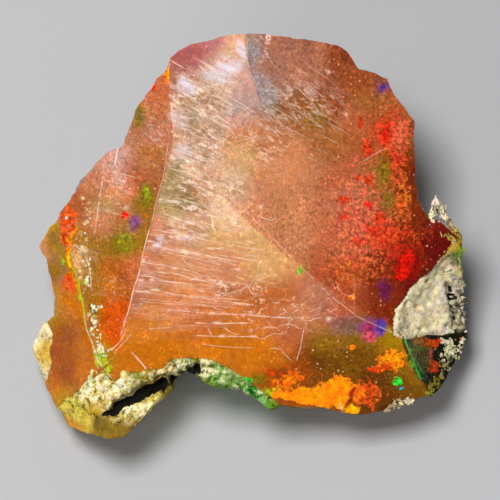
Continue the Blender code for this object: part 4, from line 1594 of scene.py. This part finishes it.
CRACKS = [  # half width, strength, line: ragged, with crumbs along them
    (0.04, 0.7, [(0.4, 14.4), (1.3, 13.3), (2.2, 13.2), (2.8, 12.8)]),
    (0.045, 0.8, [(-5.2, -5.9), (-3.5, -6.2), (-2.3, -6.5), (-1.1, -5.9), (-0.2, -6.2)]),
    (0.04, 0.8, [(-2.3, -8.2), (-1.4, -8.5), (-0.8, -8.95), (0.4, -8.8), (1.3, -9.1),
                 (2.2, -8.6), (3.4, -8.8)]),
    (0.045, 0.8, [(1.3, -8.2), (2.1, -8.1), (2.8, -7.9), (3.7, -7.8), (4.8, -8.1)]),
    (0.04, 0.8, [(-2.3, -5.1), (-1.4, -4.8), (-0.5, -4.5), (0.1, -4.35), (0.7, -3.4)]),
    (0.04, 0.8, [(-1.1, -3.4), (-0.5, -3.8), (0.1, -4.5), (0.4, -5.2)]),
    (0.12, 0.9, [(-2.5, -4.0), (-2.2, -4.6)]),
    (0.06, 0.7, [(-3.8, -8.0), (-3.4, -8.6)]), (0.09, 0.8, [(-6.0, -2.0), (-5.2, -2.45)]),
    (0.09, 0.8, [(-3.4, 1.9), (-3.1, 0.7)]),
    (0.045, 0.7, [(2.0, -9.9), (3.0, -10.2), (3.6, -10.9)]),
    (0.045, 0.7, [(4.4, -7.2), (5.4, -7.4), (6.6, -7.2)]),
]
PAINTED_GLINTS = [  # painted highlights, small white glints: place, half width, half height
    (-3.3, -6.8, 0.34, 0.12), (-2.9, -7.68, 0.38, 0.12), (-2.4, -8.87, 0.3, 0.11),
    (1.1, 2.8, 0.16, 0.16), (7.2, 15.0, 0.15, 0.15), (1.0, -2.2, 0.13, 0.13),
    (7.2, -7.3, 0.22, 0.18), (3.4, 12.6, 0.15, 0.15), (8.8, 11.2, 0.15, 0.15),
]
print("drawn strokes, cracks and dots:", len(STROKES), len(CRACKS), len(PAINTED_GLINTS))

# %% Where the marks lie
def streak_density(x, y):
    """How thick the streaks lie: most by the left ridge, few to the right of the middle."""
    shares = region_shares(x, y)
    along = x - line_at(LEFT_RIDGE, y)
    fan = central_share(x, y) * (1 - left_share(x, y)) * (1 - 0.9 * ramp(along, 5.0, 14.0))
    fan = fan * ramp(y, -9.0, -3.5) * (1 - ramp(y, 15.4, 16.4))
    fan = fan * (1 - soft_spots([(-8.2, -7.6, 2.6, 2.2, 0.6)], x, y))
    far = 0.6 * shares["right"] * soft_spots([(4.2, 11.0, 5.6, 5.4, 1.0)], x, y)
    flank = 0.5 * shares["left"] * soft_spots([(-11.6, 4.4, 2.4, 4.4, 1.0)], x, y)
    return np.maximum(np.maximum(fan, far), flank)


def stroke_place(x, y):
    """Signed distance to the nearest stroke in half widths, and the stroke's strength."""
    nearest, signed = np.full((2, *x.shape), FAR)
    strength = np.zeros_like(x)
    for lines, bend, pitch in ((STROKES, 0.07, 1.6), (CRACKS, 0.13, 0.5)):
        wx, wy = wavy(x, y, bend, pitch, 351)
        for wide, power, line in lines:
            for start, end in zip(line, line[1:]):
                distance, side = to_stretch(start, end, wx, wy)
                closer = distance < nearest
                signed = np.where(closer, side * distance / wide, signed)
                strength = np.where(closer, power, strength)
                nearest = np.where(closer, distance, nearest)
    return np.clip(signed, -6.0, 6.0), strength * (1 - ramp(nearest, 0.16, 0.34))


def spots_of_light(x, y):
    """Painted highlights as white dots: exp(-(distance / radius)^2) for the nearest of them."""
    total = np.zeros_like(x)
    for dot_x, dot_y, wide, high in PAINTED_GLINTS:
        square = ((x - dot_x) / wide) ** 2 + ((y - dot_y) / high) ** 2
        total = np.maximum(total, np.exp(-square))
    return total


def marks(x, y, z):
    """Streak density, crackle, places of painted sheen and crumble, one in each channel."""
    wx, wy = wavy(x, y, 0.4, 1.2, 331)
    hackled = 1 - 0.6 * region_shares(x, y)["left"]
    crumble = soft_spots(CRUMBLED, wx, wy) * hackled
    crumble = crumble * (1 - left_share(x, y) * (x < -9.8) * (y > 1.6))
    crackle, sheen_places = soft_spots(CRACKLED, wx, wy), soft_spots(PAINTED_SHEENS, wx, wy)
    channels = np.stack([streak_density(x, y), crackle, sheen_places, crumble], axis=-1)
    return channels * on_front(x, y, z)[..., None]


def drawn_lines(x, y, z):
    """Signed stroke distance, stroke strength and white dots of painted highlight."""
    signed, strength = stroke_place(x, y)
    seen = on_front(x, y, z)
    return np.stack([signed, strength * seen, spots_of_light(x, y) * seen], axis=-1)


def relief_share(x, y, z, softness):
    """Share of modelled lances, share of crumbs, and how soft the fire is."""
    lances = np.clip(hackle(x, y), 0.0, 1.0)
    stuck = crumbs(x, y) * left_share(x, y)
    seen = on_front(x, y, z)
    return np.stack([lances * seen, stuck * seen, softness], axis=-1)


def fan_place(x, y):
    """The fan's two coordinates in millimetres, as points."""
    return flat_points(*fan_coordinates(x, y))


print("streaks at the middle:", streak_density(*np.zeros((2, 1))).round(2))

# %% Attributes kept on the opal's points
def keep(mesh, name, values):
    """Store a colour, of four numbers, or a vector, of three, for each point."""
    kinds = {4: ("FLOAT_COLOR", "color"), 3: ("FLOAT_VECTOR", "vector")}
    kind, field = kinds[values.shape[-1]]
    made = mesh.attributes.new(name, kind, "POINT")
    made.data.foreach_set(field, values.astype(np.float32).ravel())


drawn = opal_points.T
burnt, softness = fire_colour(*drawn)
loudness = grain_share(*drawn[:2])[:, None]
keep(opal.data, "body_tone", np.append(body_tone(*drawn), loudness, axis=1))
keep(opal.data, "fire", burnt)
keep(opal.data, "marks", marks(*drawn))
keep(opal.data, "lines", drawn_lines(*drawn))
keep(opal.data, "relief", relief_share(*drawn, softness))
keep(opal.data, "fan", fan_place(*drawn[:2]))
kept_names = [kept.name for kept in opal.data.attributes if not kept.name.startswith(".")]
print("kept on the opal:", *kept_names)

# %% [markdown]
# ## The opal's finish
#
# The finish is built from the inside out. Body tone with slow clouds comes first, then
# grainy flecks, then fire with a painted glow, then the marks on the surface: streaks and
# strokes that are partly painted highlights, crumble with painted shade in its hollows,
# crackle and a painted sheen. Light goes a little way into opal, so it has subsurface light
# and a share of plain transmission, and its broken face is glossy, which the clear coat gives.

# %% Streaks, shards and fire as patterns
def stretched(fan, along, across):
    """The fan's coordinates stretched so that noise on them turns into streaks."""
    return vector_calc("MULTIPLY", fan, (along, across, 1.0))


def streaks(fan, along, across, low, high):
    """Long thin streaks: noise that is slow along the rays and quick across them."""
    place = stretched(fan, along, across)
    return fit(cloudy(place, 1.0, 2.0, 0.5, 0.25), low, high)


def bent(place, pitch, rough, reach):
    """A place moved by noise, up to a reach in millimetres, so that cells look torn."""
    push = noise_node(place, pitch, 3.0, rough).outputs["Color"]
    return vector_calc("MULTIPLY_ADD", push, (reach, reach, reach), place)


def shards(place):
    """Broken shards: one random share for each bent cell, roughened by finer noise."""
    cell = cell_node(bent(place, 1 / 1.1, 0.7, 1.3), 1.15)
    each, _, _ = split(cell.outputs["Color"])
    finer = minus(cloudy(place, 0.5, 3.0, 0.75, 0.5), 0.5)
    return times_add(finer, 1.9, times_add(each, 0.55, 0.22))


def burning(place, strength, softness):
    """Where a patch burns: noise above a level that sinks with strength; soft ones glow evenly."""
    torn = cloudy(place, 0.46, 3.0, 0.7, 0.35)
    level = times_add(strength, -0.5, 0.73)
    sharp = fit(minus(torn, level), 0.0, 0.09)
    even = times_add(minus(torn, 0.5), 0.9, strength)
    even = fit(even, 0.05, 1.15, 0.0, 0.9)
    return between(softness, sharp, even)


print("the opal's patterns are ready")

# %% The opal's body
def opal_body(tree, place):
    """Body tone with slow clouds, a fine mottle of hue and light, and bright flecks."""
    clouds = cloud(place, 0.28, 0.16)
    mottle = cloudy(place, 0.55, 2.5, 0.75)
    drawn_tone = read(tree, "body_tone")
    fine = minus(cloudy(place, 0.24, 1.5, 0.7), 0.5)
    loud = times_add(drawn_tone.outputs["Alpha"], 1.3, 0.3)
    shade = times_add(minus(mottle, 0.51), 0.95, 1.0)
    shade = times_add(fine, loud, shade)
    shade = times(shade, fit(clouds, 0.0, 1.0, 0.93, 1.05))
    body = scaled(drawn_tone.outputs["Color"], shade)
    body = varied(body, place, 0.46, (0.3, 0.58, 0.9), (0.85, 0.71, 0.55))
    waves = cloudy(place, 0.34, 2.0, 0.6, 1.2)
    fleck = times(fit(waves, 0.575, 0.66), fit(clouds, 0.0, 1.0, 0.4, 1.0))
    lighter = blend(0.04, scaled(body, 1.6), screen(250, 190, 140))
    body = blend(fleck, body, lighter)
    return speckled(body, place, drawn_tone.outputs["Alpha"]), mottle


def speckled(body, place, loudness):
    """Small warm glints, one in some of the cells of a fine pattern."""
    specks = cell_node(place, 2.6)
    chance, warmth, _ = split(specks.outputs["Color"])
    dots = fit(specks.outputs["Distance"], 0.34, 0.1)
    speck = times(dots, fit(chance, 0.72, 0.97))
    speck = times(speck, fit(loudness, 0.0, 1.0, 0.25, 0.75))
    glint = blend(warmth, screen(250, 130, 70), screen(255, 208, 160))
    return blend(speck, body, glint)


print("body and flecks are ready")

# %% The opal's white marks
def white_lines(fan, lances, streaky):
    """Fine, broad and short streaks, and a light edge on the modelled lances: partly whitish fracture
    lines, partly painted highlights.
    """
    fine = streaks(fan, 0.16, 3.4, 0.6, 0.67)
    broad = times(streaks(fan, 0.1, 1.25, 0.64, 0.76), 0.6)
    short = streaks(fan, 0.55, 2.4, 0.61, 0.69)
    lines = times(larger(larger(fine, broad), short), streaky)
    return times(larger(lines, times(lances, 0.3)), 0.85)


def drawn_strokes(place, signed, strength):
    """Strokes broken by noise; those above a strength of 1 come out apart, as tinted."""
    broken = fit(cloudy(place, 0.7, 3.0, 0.7), 0.32, 0.6, 0.25, 1.0)
    stroke = times(fit(calc("ABSOLUTE", signed), 1.3, 0.4), strength)
    stroke = times(stroke, broken)
    tinted = times(stroke, fit(strength, 0.95, 1.05))
    return minus(stroke, tinted), tinted


def crackle(place, mottle, crackled):
    """A web of hair cracks: the thin edges between bent cells."""
    cells_apart = cell_node(bent(place, 1 / 0.9, 0.5, 1.6), 0.75, "DISTANCE_TO_EDGE")
    web = times(fit(cells_apart.outputs["Distance"], 0.040, 0.010), crackled)
    return times(web, fit(mottle, 0.38, 0.58))


def white_marks(tree, place, mottle, stuck, lances):
    """All pale marks in one mask, and apart from it the painted shade of the hollows, the painted
    sheen, the crumbs and what takes a colour of its own.
    """
    fan = read(tree, "fan").outputs["Vector"]
    signed, strength, dots = split(read(tree, "lines").outputs["Vector"])
    marked = read(tree, "marks")
    streaky, crackled, sheen_places = split(marked.outputs["Color"])
    lines = white_lines(fan, lances, streaky)
    stroke, tinted = drawn_strokes(place, signed, strength)
    web = crackle(place, mottle, crackled)
    crumble = marked.outputs["Alpha"]
    torn = shards(stretched(fan, 1.0, 2.1))
    crumbly = times(fit(torn, 0.6, 0.72), crumble)
    # hollows between the crumbled shards, which get painted shade
    shaded_hollow = times(fit(torn, 0.4, 0.22), crumble)
    lines = times(lines, fit(crumble, 0.0, 1.0, 1.0, 0.55))
    pale = larger(larger(lines, web), larger(stroke, dots))
    pale = larger(pale, times(crumbly, 0.95))
    sheen_noise = cloudy(stretched(fan, 0.35, 1.3), 1.0, 4.0, 0.65)
    painted_sheen = times(sheen_places, fit(sheen_noise, 0.34, 0.58))
    return pale, shaded_hollow, painted_sheen, times(stuck, fit(mottle, 0.36, 0.52)), tinted


print("white marks are ready")

# %% Opal finish
GLOW = 0.1  # painted glow: how much of the fire shines by itself, though no lamp is there
OPAL_BUMP, ROCK_BUMP = 0.00006, 0.00014  # metres that the finest relief stands out
OPAL_BASE = {  # opal splits light less than glass and has a soft light of its own inside
    "IOR": 1.45, "Specular IOR Level": 0.24, "Transmission Weight": 0.1,
    "Subsurface Weight": 0.25, "Subsurface Radius": (1.0, 0.36, 0.12),
    "Subsurface Scale": 0.0008, "Coat Weight": 0.2, "Coat Roughness": 0.08,
    "Coat IOR": 1.45, "Emission Strength": GLOW,
}


def flame_tone(place, fire):
    """The fire's colour, brighter in sparks where it is thin and steady where it is thick."""
    sparks = fit(cloudy(place, 0.32, 2.0, 0.7, 0.4), 0.32, 0.68, 0.36, 1.3)
    steady = fit(fire.outputs["Alpha"], 0.9, 1.2, 0.0, 0.7)
    hue = varied(fire.outputs["Color"], place, 0.55, (0.5, 2.4, 1.0), (0.75, -0.15, 0.5))
    return scaled(hue, between(steady, sparks, 0.95))


def with_marks(place, body, marked, fire):
    """Lay the painted shade of the hollows, the pale marks, the painted sheen, the crumbs and the
    tinted strokes on.
    """
    pale, shaded_hollow, painted_sheen, stuck, tinted = marked
    # painted shade in the hollows between the crumbled shards
    shaded = vector_calc("MULTIPLY", body, (0.62, 0.52, 0.36))
    body = blend(shaded_hollow, body, shaded)
    pale_tone = varied(tone(255, 230, 210), place, 0.9, (0.0, 0.24, 0.5), (1.0, 0.9, 0.78))
    pale_tone = blend(0.25, pale_tone, scaled(body, 1.8))
    body = blend(times(pale, 0.9), body, pale_tone)
    # painted sheen: a white-blue highlight laid over the colour
    body = blend(painted_sheen, body, screen(238, 224, 234))
    body = blend(times(stuck, 0.75), body, screen(238, 226, 160))
    tinted = calc("MINIMUM", times(tinted, 1.4), 1.0)
    return blend(tinted, body, fire.outputs["Color"])


def opal_finish():
    """Precious opal: body, flecks, fire and marks, mixed in that order."""
    finish, tree, shader = new_finish("precious_opal")
    place = millimetres(tree)
    body, mottle = opal_body(tree, place)
    lances, stuck, softness = split(read(tree, "relief").outputs["Vector"])
    fire = read(tree, "fire")
    lit = burning(place, fire.outputs["Alpha"], softness)
    flame = flame_tone(place, fire)
    shadow = fit(fire.outputs["Alpha"], 0.3, 1.1, 1.0, 0.62)
    body = blend(lit, scaled(body, shadow), flame)
    glow = blend(lit, (0.0, 0.0, 0.0, 1.0), flame)
    marked = white_marks(tree, place, mottle, stuck, lances)
    pale, shaded_hollow, _, stuck, _ = marked
    body = with_marks(place, body, marked, fire)
    tree.links.new(body, shader.inputs["Base Color"])
    tree.links.new(glow, shader.inputs["Emission Color"])

    rough = times_add(pale, 0.18, fit(mottle, 0.3, 0.7, 0.13, 0.2))
    tree.links.new(times_add(stuck, 0.4, rough), shader.inputs["Roughness"])
    height = times_add(pale, 0.9, times(mottle, 0.5))
    height = minus(height, times(shaded_hollow, 0.7))
    bump = wire("Bump", {"Height": height, "Strength": 0.8, "Distance": OPAL_BUMP})
    tree.links.new(bump.outputs["Normal"], shader.inputs["Normal"])
    set_values(shader, OPAL_BASE)
    return finish


opal.data.materials.append(opal_finish())
print("opal finish nodes:", len(opal.data.materials[0].node_tree.nodes))

# %% [markdown]
# ## The host rock's finish
#
# The rind is a weathered volcanic rock. Its grains are chalky white on top, with olive
# and ochre stain between them near the opal, and the lower lump is a smooth, amber
# common opal. The tones are placed by name like the opal's. The low gaps between the grains
# get painted shade, and the pits and the crevice get a near-black painted shade that
# darkens with the depth that the mesh really has.

# %% Host rock tones
ROCK_TONES = {
    "cream": (246, 226, 184), "pale": (252, 230, 188), "bone": (238, 228, 196),
    "chalk": (250, 242, 202), "straw": (206, 186, 70), "drab": (150, 134, 98),
    "moss": (118, 130, 0), "celadon": (108, 158, 56), "leaf": (24, 140, 30), "split_shadow": (26, 24, 8),
    "umbrous": (84, 62, 4), "saffron": (214, 168, 30), "gilt": (180, 138, 0),
    "amber": (190, 112, 0), "bronze": (122, 96, 4), "clay": (196, 174, 138),
    "sprout": (120, 200, 20),
}
ROCK_SPOTS = {  # tone between the grains: its places
    "cream": [(16.2, -6.0), (17.2, -7.6), (15.4, -4.6), (18.2, -3.4), (-19.0, -8.2),
        (14.0, -15.2)],
    "pale": [(15.2, -6.6), (16.4, -7.4)],
    # painted shadow: near black along the split in the wedge
    "split_shadow": [(19.2, -5.4), (18.9, -6.6), (19.3, -7.4), (19.5, -8.6)],
    "bone": [(18.1, -5.4), (18.1, -8.4), (16.8, 3.0), (17.0, 1.6), (17.8, -10.2), (-13.4, -10.0),
        (-15.0, -1.8)],
    "gilt": [(-8.4, -11.8), (-9.6, -12.8), (-13.8, -15.4), (18.2, 0.0), (19.0, -0.4)],
    "moss": [(-5.6, -11.0), (-4.0, -11.4), (2.2, -14.4), (-10.2, -12.3), (16.0, -14.0)],
    "celadon": [(-2.6, -12.0), (-0.8, -13.0), (-14.9, -12.9), (18.4, -10.6)],
    "leaf": [(-0.2, -13.6), (1.4, -14.8)],
    "straw": [(-15.6, -13.4), (-13.5, -13.9), (-11.6, -13.3), (-12.6, -12.4), (-11.6, -15.6),
        (-9.4, -14.6), (-16.6, -15.4), (-15.2, -16.4)],
    "amber": [(-16.2, -17.6)],
    "bronze": [(-13.0, -17.8), (-11.0, -17.4), (5.6, -15.8), (17.2, -12.8)],
    "umbrous": [(-13.5, -16.8)],
    "chalk": [(-19.6, -9.6), (-19.2, -11.4), (-13.9, -7.6), (-13.8, -6.2)],
    "saffron": [(-18.4, -10.0), (-18.7, -10.9)],
    "clay": [(-19.4, -12.2), (9.0, -16.6), (18.0, 1.6), (18.9, -9.8), (-14.4, 2.4)],
    "sprout": [(19.7, -1.6)], "drab": [(18.8, -2.3), (18.0, -11.4), (13.2, -15.2)],
}
WHITE_GRAINS = [  # where the tops of the grains are chalky: place, half sizes, strength
    (-13.6, -13.3, 4.2, 2.0, 1.25), (-10.4, -15.2, 2.8, 1.8, 0.9), (-4.5, -11.6, 5.0, 1.5, 0.85),
    (0.6, -13.8, 3.0, 1.3, 0.6), (17.0, -6.4, 4.0, 3.6, 0.5), (-8.4, -12.4, 2.0, 1.2, 0.5),
]
SMOOTH_ROCK = [  # lower lump, nub and wedge, where the grains hardly show
    (-15.6, -17.4, 3.6, 1.4, 1.0), (-12.0, -18.0, 3.0, 0.9, 0.8), (-19.4, -10.0, 1.6, 3.0, 0.6),
    (16.6, -6.2, 4.0, 4.0, 0.75),
]
ROCK_TONE_CORE = 0.3
print("rock tones:", len(ROCK_TONES), "with", sum(map(len, ROCK_SPOTS.values())), "places")

# %% Where the rock changes tone
def rock_tone(points):
    """Named tones near the front, chalk on the grains' tops, plain clay tones behind."""
    x, y, z = points.T
    wx, wy = wavy(x, y, 0.45, 1.2, 341)
    front = mean_tone(ROCK_TONES, ROCK_SPOTS, wx, wy, ROCK_TONE_CORE)
    _, grains, _ = rock_parts(points)
    white = (soft_spots(WHITE_GRAINS, wx, wy) * ramp(grains, 0.05, 0.12))[..., None]
    front = front * (1 - white) + tone(*ROCK_TONES["chalk"]) * white
    under = ramp(-z, 3.5, 8.0)[..., None]
    patch = ramp(noise(points, 4.2, 347), -0.5, 0.6)[..., None]
    plain_rock = tone(*ROCK_TONES["clay"]) * (1 - patch) + tone(*ROCK_TONES["bone"]) * patch
    return front * (1 - under) + plain_rock * under


def rock_depth(points):
    """How deep a place lies in a pit or in the crevice, 0 to 1."""
    _, _, pits = rock_parts(points)
    return np.maximum(ramp(-pits, 0.28, 0.6), ramp(crevice(*points.T), 0.3, 1.0))


def rock_touch(points):
    """How rough the rock is to look at, how chalky, and how deep it lies."""
    x, y, z = points.T
    front = 1 - ramp(-z, 2.0, 5.0)
    rough = 1 - soft_spots(SMOOTH_ROCK, x, y) * front
    return np.stack([rough, soft_spots(WHITE_GRAINS, x, y) * front, rock_depth(points)], axis=-1)


print("tone of the nub:", rock_tone(np.array([[-19.0, -10.0, 0.0]]))[0].round(3))

# %% Host rock finish
def rock_finish():
    """Chalky rock: tone, grains and stains, with painted shade in the gaps, pits and crevice, all of
    them dull.
    """
    finish, tree, shader = new_finish("host_rock")
    place = millimetres(tree)
    rough_share, chalky, depth = split(read(tree, "rock_touch").outputs["Vector"])
    grain_height, variety = grit(place, 3.4)
    clouds = cloud(place, 0.9, 0.14)
    mottle = cloudy(place, 0.55, 4.0, 0.75, 0.4)
    drawn_tone = read(tree, "rock_tone").outputs["Color"]
    body = varied(drawn_tone, place, 0.8, (0.5, 0.6, 1.2), (0.75, 0.7, 0.4))
    shade = fit(mottle, 0.32, 0.62, 0.7, 1.15)
    body = scaled(body, times(fit(variety, 0.0, 1.0, 0.86, 1.1), shade))
    body = blend(times(clouds, 0.16), body, screen(176, 140, 74))
    crumb = times(fit(mottle, 0.51, 0.58), chalky)
    body = blend(times(crumb, 0.85), body, screen(248, 234, 190))
    # painted shade in the low gaps between the grains
    gap = times(fit(mottle, 0.46, 0.37), rough_share)
    body = blend(times(gap, 0.85), body, scaled(body, 0.14))
    # painted shade, near black, in the pits and the crevice, deeper places darker
    ragged = times_add(minus(mottle, 0.5), 1.5, depth)
    ragged = times(fit(ragged, 0.4, 0.56), fit(depth, 0.0, 0.12))
    body = blend(ragged, body, screen(14, 10, 3))
    tree.links.new(body, shader.inputs["Base Color"])
    dull = times_add(rough_share, 0.5, 0.4)
    tree.links.new(dull, shader.inputs["Roughness"])
    height = times_add(mottle, 1.6, times(grain_height, 0.6))
    height = times(height, fit(rough_share, 0.0, 1.0, 0.15, 1.0))
    bump = wire("Bump", {"Height": height, "Strength": 0.9, "Distance": ROCK_BUMP})
    tree.links.new(bump.outputs["Normal"], shader.inputs["Normal"])
    set_values(shader, {"Specular IOR Level": 0.2})
    return finish


TONE_SPREAD = (0.5, 0.5, 0.0)  # how far from a flake the place of its one tone lies
SPLIT_SIDE, SPLIT_STEP = 18.2, 1.3  # flakes past the dark split take the tone inside it
host_rock = rock_finish()
each_flake = FLAKE_RINGS * FLAKE_SIDES + 2
flake_count = len(flake_points) // each_flake
shuffle = np.random.default_rng(71).normal(size=(flake_count, 1, 3)) * TONE_SPREAD
tone_places = (flake_points.reshape(-1, each_flake, 3) + shuffle).reshape(-1, 3)
past_split = (tone_places[:, 0] > SPLIT_SIDE) * ramp(-tone_places[:, 1], 3.2, 4.2)
tone_places[:, 0] -= SPLIT_STEP * past_split
for piece, its_points, deep_share in ((rock, rock_points, 1.0), (flakes, tone_places, 0.0)):
    opaque = np.ones((len(its_points), 1))
    keep(piece.data, "rock_tone", np.append(rock_tone(its_points), opaque, axis=1))
    keep(piece.data, "rock_touch", rock_touch(its_points) * (1.0, 1.0, deep_share))
    piece.data.materials.append(host_rock)
print("rock finish nodes:", len(rock.data.materials[0].node_tree.nodes))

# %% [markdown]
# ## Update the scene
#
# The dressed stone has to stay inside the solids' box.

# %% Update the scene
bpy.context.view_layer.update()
